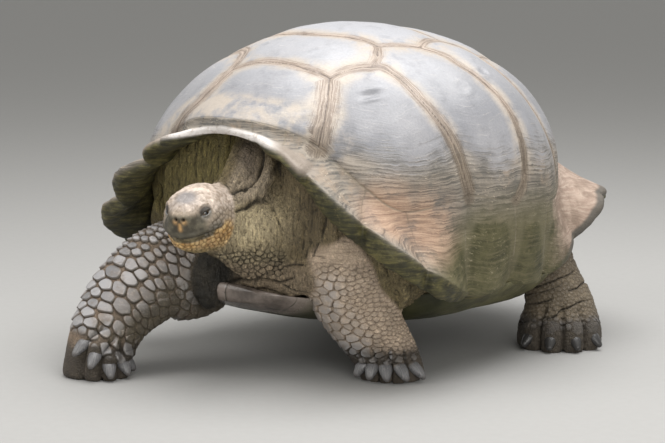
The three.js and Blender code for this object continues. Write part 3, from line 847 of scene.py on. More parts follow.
def belly_material():
    s = Shader("belly_shell")
    edge, lip = s.attributes("edge lip")
    mottle, fine = s.noise(0.05, 6, 0.6), s.noise(0.006, 6, 0.65)
    x, y, _ = s.axes()
    layer = s.vector(edge * 0.2, x * 9, y * 9)
    streak = s.noise(1.0, 5, 0.6, layer, 0.4)
    base = s.mix(mottle.step(0.35, 0.65), (0.045, 0.044, 0.017), (0.12, 0.112, 0.048))
    base = s.mix(streak.step(0.5, 0.7) * 0.35, base, (0.21, 0.185, 0.11))
    shaded = (y + (mottle - 0.5) * 0.12).step(0.02, -0.16)
    base = s.mix(shaded * 0.85, base, s.mix(mottle, (0.008, 0.01, 0.003), (0.04, 0.042, 0.014)))
    front = s.mix(mottle.step(0.3, 0.7), (0.075, 0.06, 0.05), (0.23, 0.19, 0.165))
    base = s.coats(base, [
        (lip, front),
        (edge.step(2.6, 0.8, 0, 0.8), (0.03, 0.028, 0.018))])
    rough = lip.step(0, 1, 0.6, 0.2) + (fine - 0.5) * 0.25
    bumps = streak * 0.7 + fine * 0.35
    return s.finish(base, rough, bumps, 0.0012, 0.8)


# ---- the room -----------------------------------------------------------------------------
def add_floor():
    points = np.array([[-30000, -30000, 0], [30000, -30000, 0], [30000, 30000, 0], [-30000, 30000, 0]], float)
    floor = new_mesh("floor", points - FRAME_SHIFT * [1000, 1000, 0], [[[0, 1, 2, 3]]], smooth=False)
    s = Shader("studio_floor")
    speck = s.noise(0.02, 5)
    tone = s.mix(speck, (0.33, 0.328, 0.32), (0.36, 0.357, 0.35))
    floor.data.materials.append(s.finish(tone, 0.75, speck, 0.0005, 0.3))


def add_area(name, location, target, size, energy, colour=(1, 1, 1)):
    light = bpy.data.lights.new(name, "AREA")
    light.shape = "RECTANGLE"
    light.size, light.size_y = size
    light.energy = energy
    light.color = colour
    obj = bpy.data.objects.new(name, light)
    obj.location = location
    obj.rotation_euler = (Vector(target) - Vector(location)).to_track_quat("-Z", "Y").to_euler()
    bpy.context.collection.objects.link(obj)


def add_lights():
    add_area("overhead", (0.5, 0.3, 3.4), (0, 0, 0.4), (3.6, 3.6), 195, (1.0, 0.99, 0.98))
    add_area("key", (-1.6, -2.8, 2.4), (0, -0.2, 0.3), (1.8, 1.8), 38, (1.0, 0.98, 0.95))
    add_area("fill", (3.4, -2.6, 1.4), (0.1, -0.2, 0.25), (2.0, 2.0), 62, (1.0, 0.99, 0.96))
    world = bpy.data.worlds.new("studio")
    world.use_nodes = True
    world.node_tree.nodes["Background"].inputs[0].default_value = (0.96, 0.95, 0.92, 1)
    world.node_tree.nodes["Background"].inputs[1].default_value = 0.55
    bpy.context.scene.world = world
    bpy.context.scene.view_settings.view_transform = "Standard"


def add_camera():
    a, e = CAMERA_AZIMUTH, CAMERA_ELEVATION
    away = Vector((math.sin(a) * math.cos(e), -math.cos(a) * math.cos(e), math.sin(e)))
    camera = bpy.data.objects.new("camera", bpy.data.cameras.new("camera"))
    camera.data.lens = CAMERA_LENS
    camera.data.sensor_width = 36
    camera.data.clip_end = 100
    camera.location = Vector(CAMERA_TARGET / 1000 + FRAME_SHIFT) + away * CAMERA_DISTANCE
    camera.rotation_euler = (-away).to_track_quat("-Z", "Y").to_euler()
    bpy.context.collection.objects.link(camera)
    bpy.context.scene.camera = camera


# ---- flesh: solids from part to part ------------------------------------------------------
NECK_STATIONS = [[0, -330, 350, 116, 120], [0, -400, 330, 104, 114], [0, -450, 318, 86, 96],
                 [0, -495, 318, 70, 76], [2, -540, 326, 56, 58]]
HEAD_SECTIONS = [[-92, -2, 34, 36], [-70, 2, 51, 55], [-35, 5, 60, 64], [0, 4, 63, 66],
                 [35, 4, 58, 63], [65, -2, 45, 52], [84, -8, 31, 40], [95, -12, 18, 29]]
TAIL_STATIONS = [[0, 350, 232, 46, 46], [0, 420, 205, 36, 34], [6, 458, 160, 24, 24],
                 [14, 466, 118, 15, 16], [22, 458, 86, 8, 8]]
# Each leg: stations [x, y, z, half across, half deep], which way its claws point in degrees, how
# many there are, their fan in degrees, and how far the first one is lifted.
LEGS = {
    "foreleg_left": (
        [[180, -300, 300, 70, 66], [204, -366, 250, 82, 66], [202, -356, 190, 84, 62],
         [229, -312, 108, 76, 57], [246, -276, 44, 68, 58], [252, -266, 2, 68, 62],
         [252, -264, -20, 58, 54]], 34, 5, 110, 0),
    "foreleg_right": (
        [[-130, -340, 272, 94, 80], [-150, -432, 213, 112, 86], [-192, -511, 190, 96, 75],
         [-216, -578, 137, 87, 66], [-221, -626, 82, 75, 60], [-224, -648, 34, 66, 60],
         [-226, -656, 0, 64, 58], [-226, -658, -18, 54, 50]], 70, 5, 128, 44),
    "hindleg_left": (
        [[205, 258, 270, 80, 80], [262, 234, 205, 66, 72], [296, 234, 146, 60, 66],
         [316, 237, 94, 72, 74], [323, 233, 42, 87, 88], [324, 232, 4, 87, 90],
         [324, 232, -20, 76, 78]], 40, 4, 100, 0),
    "hindleg_right": (
        [[-205, 262, 270, 80, 80], [-255, 258, 205, 66, 72], [-288, 266, 146, 60, 66],
         [-305, 271, 94, 74, 74], [-312, 268, 42, 88, 88], [-314, 266, 4, 88, 90],
         [-314, 266, -20, 78, 78]], -24, 4, 100, 0),
}
# Claws fan out round the foot and point down; a foot that rolls over lifts its first claws.
CLAW = {"root": 14.5, "tip": 5, "root_height": 38, "tip_height": 9, "reach": 23}
TRUNK_FRONT, TRUNK_REAR = -392.0, 385.0


def loft(stations, deep, cap=0.12, square=2.0, rows=56, columns=64):
    """A closed tube along a spine of [x, y, z, half across, half deep] stations."""
    stations = np.asarray(stations, float)
    s = (1 - np.cos(np.pi * np.arange(rows + 1) / rows)) / 2
    here = catmull_rom(stations, s)
    tangent = unit(catmull_rom(stations, np.minimum(s + 0.02, 1))[:, :3]
                   - catmull_rom(stations, np.maximum(s - 0.02, 0))[:, :3])
    across = unit(np.cross(tangent, np.asarray(deep, float)))
    inward = unit(np.cross(across, tangent))
    to_end = np.minimum(s, 1 - s) / cap
    shrink = np.where(to_end >= 1, 1, np.sqrt(np.maximum(0, 1 - (1 - np.minimum(to_end, 1)) ** 2)))
    angle = 2 * np.pi * np.arange(columns) / columns
    bend = lambda value: np.sign(value) * np.abs(value) ** (2 / square)
    rings = []
    for r in range(rows + 1):
        if r in (0, rows):
            rings.append(here[r:r + 1, :3])
            continue
        rings.append(here[r, :3]
                     + across[r] * (here[r, 3] * shrink[r] * bend(np.cos(angle)))[:, None]
                     + inward[r] * (here[r, 4] * shrink[r] * bend(np.sin(angle)))[:, None])
    return ring_mesh(rings)


def trunk_shape():
    """Follows the inside of the dome, then sinks to the underside, and stands back at both ends."""
    columns, rings = 192, []
    for v in (0, 0.1, 0.2, 0.3, 0.4, 0.5, 0.6, 0.7, 0.8, 0.9, 1.0):
        count = 1 if v == 0 else columns
        rings.append(shell_ring(v, count, np.full(count, 15.5))[0] if v else np.array([APEX - [0, 0, 15.5]]))
    edge = rings[-1]
    for sink in np.linspace(0, 1, 13)[1:]:
        narrow = 0 if sink == 1 else math.cos(sink * math.pi / 2) ** 0.35
        level = mix(edge[:, 2], PLASTRON_FLOOR + 22, math.sin(sink * math.pi / 2))
        ring = np.stack([edge[:, 0] * narrow, edge[:, 1] * narrow, level], 1)
        rings.append(ring if narrow else ring[:1])
    points, quads, triangles = ring_mesh(rings)
    y = points[:, 1]
    points[:, 1] = y - 0.8 * (np.minimum(y - TRUNK_FRONT, 0) + np.maximum(y - TRUNK_REAR, 0))
    return points, quads, triangles


def head_stations():
    return [[*in_head(ahead, 0, above), wide, high] for ahead, above, wide, high in HEAD_SECTIONS]


VOXEL = 6.0
BAND = 10                                # voxels of distance kept on each side of a surface
GRID_LOW = np.array([-76, -128, -9])     # the grid's lowest corner, in voxels
GRID_SIZE = (152, 226, 129)


def distance_field(shape):
    """Signed distance to a closed mesh on the grid, in millimetres, negative inside."""
    points, quads, triangles = shape
    grid = openvdb.FloatGrid.createLevelSetFromPolygons(
        np.ascontiguousarray(points, np.float32), triangles=np.ascontiguousarray(triangles, np.uint32),
        quads=np.ascontiguousarray(quads, np.uint32),
        transform=openvdb.createLinearTransform(voxelSize=VOXEL), halfWidth=float(BAND))
    field = np.zeros(GRID_SIZE, np.float32)
    grid.copyToArray(field, ijk=tuple(int(c) for c in GRID_LOW))
    return field


def blend_in(a, b, radius):
    """Smooth union of two distance fields."""
    h = np.clip(0.5 + 0.5 * (a - b) / radius, 0, 1)
    return a + (b - a) * h - radius * h * (1 - h)


def grid_window(low, high):
    low = np.maximum(np.floor(np.asarray(low) / VOXEL).astype(int) - GRID_LOW, 0)
    high = np.minimum(np.ceil(np.asarray(high) / VOXEL).astype(int) - GRID_LOW, np.array(GRID_SIZE) - 1)
    window = tuple(slice(a, b + 1) for a, b in zip(low, high))
    axes = [(np.arange(a, b + 1) + base) * VOXEL for a, b, base in zip(low, high, GRID_LOW)]
    return window, np.stack(np.meshgrid(*axes, indexing="ij"), -1)


def add_tube(field, path, radii, blend, cut=False):
    """Melt a rounded cord of flesh into the field, or cut a furrow of the same shape."""
    path = catmull_rom(path, np.linspace(0, 1, 5 * len(path)))
    radii = np.interp(np.linspace(0, 1, len(path)), np.linspace(0, 1, len(radii)), radii)
    reach = max(radii) + blend + 2 * VOXEL
    window, place = grid_window(path.min(0) - reach, path.max(0) + reach)
    best = np.full(place.shape[:3], 1e3)
    for a, b, ra, rb in zip(path[:-1], path[1:], radii[:-1], radii[1:]):
        along = b - a
        h = np.clip(((place - a) @ along) / max(along @ along, 1e-6), 0, 1)
        best = np.minimum(best, np.linalg.norm(place - a - h[..., None] * along, axis=-1) - mix(ra, rb, h))
    old = field[window]
    field[window] = -blend_in(-old, best, blend) if cut else blend_in(old, best.astype(np.float32), blend)


def sample(field, points):
    """The field's value at each point."""
    q = points / VOXEL - GRID_LOW
    base = np.clip(np.floor(q).astype(int), 0, np.array(GRID_SIZE) - 2)
    f = np.clip(q - base, 0, 1)
    return sum(weight * field[tuple((base + corner).T)] for corner, weight in corners(f))


def to_surface(field):
    grid = openvdb.FloatGrid(float(BAND * VOXEL))
    grid.copyFromArray(np.ascontiguousarray(field, np.float32), ijk=tuple(int(c) for c in GRID_LOW))
    grid.transform = openvdb.createLinearTransform(voxelSize=VOXEL)
    points, quads = grid.convertToQuads(0.0)
    return points.astype(float), quads.astype(np.int64)


def refine(points, quads, others, chosen):
    """Split the chosen quads in four; neighbours take the new points as extra corners."""
    edges = np.sort(np.stack([quads[chosen], np.roll(quads[chosen], -1, 1)], -1).reshape(-1, 2), 1)
    keys, where = np.unique(edges[:, 0] * len(points) + edges[:, 1], return_inverse=True)
    first, second = keys // len(points), keys % len(points)
    middles = len(points) + where.reshape(-1, 4)
    centres = len(points) + len(keys) + np.arange(chosen.sum())
    corner = quads[chosen]
    split = np.concatenate([
        np.stack([corner[:, c], middles[:, c], centres, middles[:, c - 1]], 1) for c in range(4)])
    grown = np.vstack([points, (points[first] + points[second]) / 2, points[corner].mean(1)])
    lookup = dict(zip(keys.tolist(), range(len(points), len(points) + len(keys))))
    kept, polygons = [], []
    rest = quads[~chosen]
    rest_edges = np.sort(np.stack([rest, np.roll(rest, -1, 1)], -1), -1)
    touched = np.isin(rest_edges[..., 0] * len(points) + rest_edges[..., 1], keys).any(1)
    kept = rest[~touched]
    for polygon in [*rest[touched].tolist(), *others]:
        corners = []
        for a, b in zip(polygon, polygon[1:] + polygon[:1]):
            corners.append(a)
            found = lookup.get(min(a, b) * len(points) + max(a, b))
            if found is not None:
                corners.append(found)
        polygons.append(corners)
    return grown, np.concatenate([split, kept]), polygons


def smooth_mesh(points, quads, others, times, weight=None, amount=0.5):
    """Pull each point toward the middle of its neighbours."""
    edges = [np.stack([quads, np.roll(quads, -1, 1)], -1).reshape(-1, 2)]
    edges += [np.array([(a, b) for a, b in zip(p, p[1:] + p[:1])]) for p in others]
    edges = np.unique(np.sort(np.concatenate(edges), 1), axis=0)
    both = np.concatenate([edges, edges[:, ::-1]])
    degree = np.maximum(np.bincount(both[:, 0], minlength=len(points)), 1)
    weight = amount if weight is None else amount * weight[:, None]
    for _ in range(times):
        middle = np.stack([np.bincount(both[:, 0], points[both[:, 1], c], len(points)) for c in range(3)], 1)
        points = points + weight * (middle / degree[:, None] - points)
    return points


def fans(polygons):
    """Triangles that cover a list of polygons, for normals only."""
    return np.array([(p[0], p[i], p[i + 1]) for p in polygons for i in range(1, len(p) - 1)] or [(0, 0, 0)])


def claw_stations(name):
    """For each claw of a foot: its stations from root to tip, and the top of the toe above it."""
    stations, heading, count, spread, climb = LEGS[name]
    stations = np.array(stations, float)
    claws = []
    for i in range(count):
        fan = math.radians(heading + spread * (i / (count - 1) - 0.5))
        away = np.array([math.sin(fan), -math.cos(fan)])
        rise = climb * max(0, 1 - i / 2)

        def at(distance, height):
            here = [np.interp(height + rise, stations[::-1, 2], stations[::-1, c]) for c in (0, 1, 3, 4)]
            edge = here[2] * here[3] / math.hypot(here[3] * away[0], here[2] * away[1])
            out = edge + distance
            return [here[0] + away[0] * out, here[1] + away[1] * out, height + rise]

        root, tip, reach = CLAW["root_height"], CLAW["tip_height"], CLAW["reach"]
        stops = [at(-9, root), at(reach * 0.3, mix(root, tip, 0.45)), at(reach, tip)]
        claws.append((np.array(stops), at(-6, root + 11)))
    return claws


def flesh_fields():
    fields = {"trunk": distance_field(trunk_shape()),
              "neck": distance_field(loft(NECK_STATIONS, UP, 0.06)),
              "head": distance_field(loft(head_stations(), UP, 0.08, 2.2)),
              "tail": distance_field(loft(TAIL_STATIONS, FORWARD, 0.08))}
    for name, (stations, *_rest) in LEGS.items():
        fields[name] = distance_field(loft(stations, FORWARD, 0.1, 2.3))
    return fields


def join_flesh(fields):
    body = blend_in(fields["trunk"], fields["neck"], 40)
    for name in LEGS:
        body = blend_in(body, fields[name], 34)
    body = blend_in(body, fields["tail"], 26)
    # Pleated skin that hangs from the shell's front down to the neck and shoulders.
    for side in (-1, 1):
        for f in np.linspace(0, 1, 6):
            top = (side * mix(50, 238, f), -398, mix(560, 425, f))
            middle = (side * mix(62, 232, f), mix(-412, -404, f), mix(440, 350, f))
            foot = (side * mix(80, 190, f), mix(-428, -412, f), mix(330, 235, f))
            add_tube(body, [top, middle, foot], [24, 25, 22], 13)
        add_tube(body, [(side * 290, -388, 322), (side * 318, -368, 282), (side * 330, -335, 240),
                        (side * 324, -316, 192), (side * 300, -298, 158)], [17, 17, 16, 14, 10], 16)
        add_tube(body, [(side * 262, -366, 305), (side * 286, -335, 245), (side * 282, -300, 185)],
                 [34, 34, 24], 22)
    # The dark top of the neck between two ropes of skin.
    add_tube(body, [(12, -390, 462), (14, -432, 425), (8, -478, 378)], [60, 50, 42], 34)
    body = blend_in(body, fields["head"], 16)
    add_tube(body, [(74, -428, 474), (84, -452, 428), (76, -480, 392), (48, -508, 368), (22, -526, 352)],
             [12, 14, 14, 12, 8], 15)
    add_tube(body, [(-14, -440, 470), (-4, -474, 425), (6, -500, 392), (16, -516, 374)], [11, 12, 10, 6], 13)
    add_tube(body, [(-46, -425, 490), (-42, -444, 440), (-36, -464, 400), (-30, -484, 370)],
             [13, 15, 14, 9], 10, cut=True)
    # The slack throat and the full side of the neck.
    add_tube(body, [(30, -520, 285), (54, -482, 262), (74, -442, 262)], [22, 42, 50], 30)
    add_tube(body, [(30, -505, 325), (66, -462, 320), (92, -425, 318)], [34, 46, 50], 34)
    # Soft skin across the chest and inside the right upper arm.
    add_tube(body, [(-60, -440, 205), (40, -445, 208), (130, -436, 212), (180, -410, 225)],
             [30, 33, 33, 30], 26)
    add_tube(body, [(-84, -428, 240), (-60, -476, 208), (-46, -494, 174), (-50, -490, 152)],
             [36, 34, 28, 16], 34)
    return np.maximum(body, -(np.arange(GRID_SIZE[2]) + GRID_LOW[2]) * VOXEL)


# ---- sculpting the skin -------------------------------------------------------------------
def spread_plates(points, radii, seed, first=(), first_radii=()):
    """Plate centres on a surface, spaced by the radius wanted at each place; `first` are set already."""
    order = np.random.default_rng(seed).permutation(len(points))
    places, wanted = points[order], radii[order]
    alive = np.ones(len(places), bool)
    centres, sizes = [*first], [*first_radii]
    for centre, size in zip(first, first_radii):
        alive &= ((places - centre) ** 2).sum(1) > (0.86 * (wanted + size)) ** 2
    at = 0
    while at < len(places):
        if not alive[at]:
            at += 1
            continue
        centres.append(places[at])
        sizes.append(wanted[at])
        near = alive.copy()
        gap = ((places[near] - places[at]) ** 2).sum(1)
        alive[near] = gap > (0.86 * (wanted[near] + wanted[at])) ** 2
        alive[at] = False
    centres, sizes = np.array(centres), np.array(sizes)
    for _ in range(2):
        owner = nearest(points, centres)[1]
        count = np.maximum(np.bincount(owner, minlength=len(centres)), 1)
        settled = np.stack([np.bincount(owner, points[:, c], len(centres)) for c in range(3)], 1)
        centres[len(first):] = (settled / count[:, None])[len(first):]
    return centres, sizes


def plate_field(points, centres, sizes):
    """For each point: its plate, distance to that plate's edge, offset from the plate's middle, the
    same in plate radii, and the plate's radius.
    """
    tree = search_tree(centres)
    count = min(7, len(centres))
    found = [tree.find_n(p, count) for p in points]
    index = np.array([[f[1] for f in row] for row in found])
    scaled = np.array([[f[2] for f in row] for row in found]) / sizes[index]
    rank = np.argsort(scaled, 1)
    rows = np.arange(len(points))
    own, other = index[rows, rank[:, 0]], index[rows, rank[:, 1]]
    first, second = scaled[rows, rank[:, 0]], scaled[rows, rank[:, 1]]
    size = sizes[own]
    return own, 0.5 * (second - first) * (size + sizes[other]) / 2, points - centres[own], first, size


def leg_plates(name, points, normals, low):
    """Over one leg: plate radius, how far plates stand up, how round and how polished they are.

    `low` is 1 round the claws and below them, where the skin is bare.
    """
    z = points[:, 2]
    side = 1 if name.endswith("left") else -1
    uneven = noise(points, 42, 301)
    if name == "foreleg_right":
        inner = smoothstep(0.05, 0.75, normals @ RIGHT_LEG_INSIDE)
        hidden = smoothstep(0.3, 0.8, normals @ unit([0.2, 1, -0.2]))
        radius = mix(mix(18.8, 13, smoothstep(130, 85, z)), 14, inner) * mix(1, 0.5, hidden)
        radius = radius * mix(0.62, 1, smoothstep(275, 205, z)) * (1 + 0.36 * uneven)
        height = mix(5.0, 1.8, inner) * mix(1, 0.5, hidden) * (1 - low)
        # Plates on the turned-away side are painted less polished, as painted shade.
        turned = smoothstep(-0.5, 0.35, normals @ RIGHT_LEG_TURNED)
        return radius, height, mix(0.9, 0.3, inner), (1 - turned * 0.42) * (1 - inner * 0.8) * (1 - low)
    if name == "foreleg_left":
        facing = normals @ LEFT_LEG_FRONT
        big = smoothstep(0.38, 0.97, facing) * smoothstep(256, 200, z)
        foot = smoothstep(80, 40, z) * smoothstep(0.2, 0.7, facing)
        radius = mix(5.8, 18.5, np.maximum(big, 0.4 * foot)) * (1 + 0.28 * uneven)
        there = smoothstep(268, 236, z) * smoothstep(-0.95, -0.6, facing) * (1 - low)
        return radius, mix(1.7, 3.8, big) * there, mix(0.3, 0.6, big), mix(0.1, 0.8, big) * there
    facing = normals @ unit([side * 0.5, -0.6, 0.2])
    toes = smoothstep(84, 62, z)
    height = mix(0.8, 1.8, toes) * mix(0.7, 1, facing > 0) * mix(1, 0.35, low)
    return mix(4.9, 7.5, toes) * (1 + 0.2 * uneven), height, 0.5 + 0 * z, mix(0.12, 0.28, toes) * (1 - low)


# Which way the left foreleg's front faces, and the right one's inner and turned-away sides.
LEFT_LEG_FRONT = unit([-0.35, -0.93, 0.0])
RIGHT_LEG_INSIDE = unit([0.75, 0.45, -0.45])
RIGHT_LEG_TURNED = unit([0.8, 0.15, -0.35])
# Along each foreleg, and how much its plates are flattened that way.
LEG_AXIS = {"foreleg_right": ((-0.29, -0.79, -0.54), 0.6), "foreleg_left": ((0.1, 0.15, -1.0), 0.4)}


def mouth_height(ahead):
    run = np.clip(ahead - 22, 0, None)
    return -5 - 0.17 * run - 0.0016 * run ** 2


def polyline_distance(points, path, limit):
    """Distance from each point to a smooth path through the given places, up to `limit`."""
    line, _ = fine_polyline(catmull_rom(path, np.linspace(0, 1, 12 * len(path))), 3.0)
    away = np.full(len(points), float(limit))
    low, high = line.min(0) - limit, line.max(0) + limit
    close = np.where(((points > low) & (points < high)).all(1))[0]
    for part in np.array_split(close, max(1, len(close) // 20000)):
        if len(part):
            gaps = ((points[part][:, None] - line[None]) ** 2).sum(-1)
            away[part] = np.minimum(np.sqrt(gaps.min(1)), limit)
    return away


# Deep creases in the skin: (places along it, half width, depth, swelling beside it).
CREASES = [
    ([(-10, -462, 188), (18, -468, 202), (52, -472, 208), (88, -472, 216), (122, -466, 213),
      (150, -452, 220)], 3.2, 7.5, 2.4),
    ([(11, -480, 184), (58, -480, 192), (96, -478, 186), (128, -474, 181)], 2.8, 6.5, 2.0),
    ([(100, -462, 226), (138, -452, 245), (166, -440, 250)], 2.4, 3.5, 1.0),
    ([(132, -466, 208), (150, -462, 196), (166, -455, 190)], 2.2, 3.5, 1.0),
    ([(118, -440, 300), (122, -444, 262), (110, -456, 236), (80, -476, 222)], 3.2, 5, 1.4),
    ([(-27, -442, 478), (-19, -474, 432), (-9, -498, 398), (0, -515, 376)], 4.0, 8, 2.0),
    ([(58, -436, 472), (66, -460, 430), (58, -486, 402), (34, -512, 386)], 3.2, 6, 1.0),
    ([(92, -430, 472), (102, -456, 424), (91, -486, 382), (60, -514, 353), (32, -530, 338)], 3.4, 6, 1.0),
]


def deep_creases(points):
    """How far the skin sinks into its deep creases, and the painted shade that lies in them."""
    sink, dark = np.zeros(len(points)), np.zeros(len(points))
    wobbly = points + 3.5 * drift(points, 26, (201, 202, 203))
    flat = np.array([1, 0.15, 1])         # creases are drawn from the front, and lie where the skin is
    front = smoothstep(-350, -385, points[:, 1])
    for path, width, depth, swell in CREASES:
        gap = polyline_distance(wobbly * flat, np.array(path, float) * flat, 8 * width)
        sink += front * (depth * bell(gap, width) - swell * bell(gap - 3.2 * width, 1.8 * width))
        dark = np.maximum(dark, front * bell(gap, width * 0.9))
    broken = smoothstep(-0.35, 0.35, noise(points, 60, 221))
    for side in (-1, 1):
        for number, f in enumerate(np.linspace(0.06, 0.94, 7)):
            f += 0.03 * math.sin(5 * number)
            path = np.array([(side * mix(52, 236, f), -424, mix(520, 400, f)),
                             (side * mix(66, 230, f), mix(-436, -428, f), mix(430, 345, f)),
                             (side * mix(88, 188, f), mix(-450, -432, f), mix(330, 240, f))])
            gap = polyline_distance(wobbly, path, 20)
            sink += broken * (3.2 * bell(gap, 2.4) - 0.9 * bell(gap - 7, 4))
            dark = np.maximum(dark, 0.55 * broken * bell(gap, 1.8))
    # The hind legs fold across, higher toward the rear.
    for name, side in (("hindleg_left", 1), ("hindleg_right", -1)):
        cx, cy = LEGS[name][0][2][:2]
        along = 0.761 * side * (points[:, 0] - cx - 10 * side) + 0.649 * (points[:, 1] - cy)
        level = points[:, 2] - 0.34 * along + 7 * noise(points, 55, 211) + 2 * noise(points, 18, 212)
        here = (side * points[:, 0] > 150) & (points[:, 1] > 120) & (points[:, 2] > 45)
        folds = [(82, 5.0), (116, 4.5), (137, 2.5), (152, 4.0), (171, 2.2), (190, 3.0)]
        for n, (at, depth) in enumerate(folds):
            depth = here * depth * smoothstep(-0.55, 0.2, noise(points, 48, 230 + n))
            sink += depth * (bell(level - at, 2.3) - 0.22 * bell(level - at + 8, 6))
            dark = np.maximum(dark, 0.22 * depth * bell(level - at, 1.9))
    return sink, np.minimum(dark, 1)


EYE_SUNK = 7.0                            # the eyeballs sit a little deeper than their places
EYE_OUT = unit([0.60, 0.78, 0.16])       # which way the left eye looks, in the head's frame
SLIT = unit(np.cross(np.cross(EYE_OUT, [-0.76, 0.50, 0.42]), EYE_OUT))
SLIT_ACROSS = np.cross(EYE_OUT, SLIT)


def eye_coordinates(points):
    """Offsets from the nearer eye along its slit, across the slit and outward."""
    a, b, c = to_head(points)
    off = np.stack([a - EYE_PLACE[0], np.abs(b) - (EYE_PLACE[1] - EYE_SUNK), c - EYE_PLACE[2]], 1)
    return off @ SLIT, off @ SLIT_ACROSS, off @ EYE_OUT, off


def sculpt_head(points, normals, on_head):
    """Brows, cheeks, beak, mouth line and nostrils; also the painted shade in the mouth's groove, the
    nostrils and the eye slit, and how far into the slit each point lies.
    """
    a, b, c = to_head(points)
    wide = np.abs(b)
    blob = lambda at, size, across=wide: np.exp(-sum(
        ((v - p) / r) ** 2 for v, p, r in zip((a, across, c), at, size)))
    # A domed crown, brow ridges, hollow in front of the eyes, cheeks, and a narrow beaked snout.
    push = 4.5 * blob((50, 32, 40), (26, 13, 9)) + 4.0 * blob((0, 60, 0), (28, 20, 24))
    push += 3.0 * blob((-40, 50, 25), (30, 24, 26)) - 5.0 * blob((74, 30, 20), (13, 10, 13))
    push += 3.0 * blob((-10, 0, 72), (34, 40, 20)) - 2.0 * blob((62, 0, 54), (16, 22, 12))
    push += 4.0 * blob((90, 0, 16), (12, 15, 10)) + 3.5 * blob((94, 0, -20), (12, 6, 12))
    push += 2.0 * blob((60, 44, -2), (22, 12, 8)) - 2.5 * blob((84, 20, 0), (10, 6, 14))
    line = mouth_height(a)
    under = c - line
    open_mouth = smoothstep(18, 30, a)
    inset = smoothstep(2, -4, under) * smoothstep(-30, -12, under) * open_mouth
    push -= 4.5 * inset
    push += 2.2 * bell(under - 6, 5) * open_mouth
    groove = bell(under + 1, 2.6) * smoothstep(18, 28, a)
    push -= 4.6 * groove
    push -= 1.8 * bell(under + 13, 3.0) * open_mouth * smoothstep(80, 60, a)
    # Loose skin folds under the eye and behind the mouth's corner.
    push -= 1.3 * bell(under - 17 - 4 * np.sin(a / 14), 2.0) * smoothstep(75, 55, a) * smoothstep(0, 20, a)
    push -= 1.5 * bell(a - 6 + 0.35 * (c + 20), 3.0) * smoothstep(10, -10, c) * smoothstep(-60, -40, c)
    pits = np.zeros(len(points))
    for nostril in (-1, 1):
        spot = [b - 1.5 - 7.6 * nostril, c - 15]
        ahead_only = smoothstep(70, 80, a)
        pits = np.maximum(pits, np.exp(-(spot[0] / 3.0) ** 2 - (spot[1] / 3.0) ** 2) * ahead_only)
        push += 1.8 * np.exp(-(np.hypot(*spot) / 7.5) ** 2) * ahead_only
    push -= 9 * pits
    push += (1.3 * fractal(points, 15, 3, 151) + 0.8 * fractal(points, 7, 2, 152)) * smoothstep(20, 32, c)
    points = points + normals * (push * on_head)[:, None]
    # Heavy eyelids over each eyeball, nearly shut along a slanting slit.
    u, w, out, off = eye_coordinates(points)
    reach = np.hypot(u, w)
    near_eye = (out > -2) & (reach < 34) & (on_head > 0.01)
    opening = 3.6 * np.sqrt(np.clip(1 - (u / 12.0) ** 2, 0, 1)) * (1 - 0.25 * (w > 0))
    past = np.abs(w) - opening + 6.0 * smoothstep(11, 13.5, np.abs(u))
    pleats = 0.7 * np.cos(np.clip(past, 0, 30) * 2 * np.pi / 4.2) * bell(past - 6, 5)
    lid = 12.3 + 1.0 * bell(past - 1.8, 1.5) + pleats
    lid = lid + 2.6 * smoothstep(0, 3, past) * smoothstep(-1, 2, w)
    wanted = mix(8.2, lid, smoothstep(-0.5, 0.8, past))
    distance = np.linalg.norm(off, axis=1)
    pull = smoothstep(20, 12, reach) * near_eye
    direction = off / np.maximum(distance, 1e-6)[:, None]
    direction[:, 1] *= np.sign(b)
    sin, cos = math.sin(HEAD_YAW), math.cos(HEAD_YAW)
    world = np.stack([direction[:, 0] * sin + direction[:, 1] * cos,
                      -direction[:, 0] * cos + direction[:, 1] * sin, direction[:, 2]], 1)
    points = points + world * ((wanted - distance) * pull)[:, None]
    fold = (bell(reach - 19, 2.0) - bell(reach - 23, 2.2)) * near_eye * smoothstep(-8, 4, w)
    points = points + normals * (1.2 * fold * on_head)[:, None]
    # Painted shade in the mouth's groove, deep in the nostrils and inside the eye slit.
    dark = np.maximum(np.maximum(groove, pits * 1.3) * on_head, 0.95 * smoothstep(1.1, -0.5, past) * pull)
    return points, np.clip(dark, 0, 1), smoothstep(0.5, -0.8, past) * pull


def ridges(points, size, stretch, seed, warp=12.0):
    """Sharp creases: 0 on the bottom of a crease and 1 between; `stretch` scales each axis."""
    warped = points * np.asarray(stretch) + warp * drift(points, 40, (seed + 1, seed + 2, seed + 3))
    return np.clip(np.abs(noise(warped, size, seed)) * 3.2, 0, 1)


def armpit(points):
    """The soft skin behind the right foreleg, where deep shade is painted."""
    return bell(np.linalg.norm((points - [-46, -488, 190]) / [38, 56, 80], axis=1), 1.0)


def toe_spread(claws):
    return np.linalg.norm(np.subtract(claws[1][1], claws[0][1]))


def shape_toes(points, normals, on):
    """Toes swell above the claws, with clefts between them; gives how much each point is toe."""
    toe = np.zeros(len(points))
    for name in LEGS:
        here = np.where(on[name] > 0.2)[0]
        claws = claw_stations(name)
        spread = toe_spread(claws)
        spines = [np.array([mound, stations[0], [*stations[0, :2], 8]]) for stations, mound in claws]
        gaps = np.array([polyline_distance(points[here], spine, 90) for spine in spines])
        swell = np.max(np.exp(-(gaps / (0.40 * spread)) ** 2), 0)
        two = np.sort(gaps, 0)[:2]
        cleft = bell(two[1] - two[0], 0.16 * spread) * smoothstep(1.5 * spread, 0.9 * spread, two[0])
        puff = 8 if name == "foreleg_left" else 14
        points[here] += normals[here] * ((puff * swell - 0.7 * puff * cleft) * on[name][here])[:, None]
        toe[here] = np.maximum(toe[here], swell)
    points[:, 2] = np.maximum(points[:, 2], 0)
    return toe


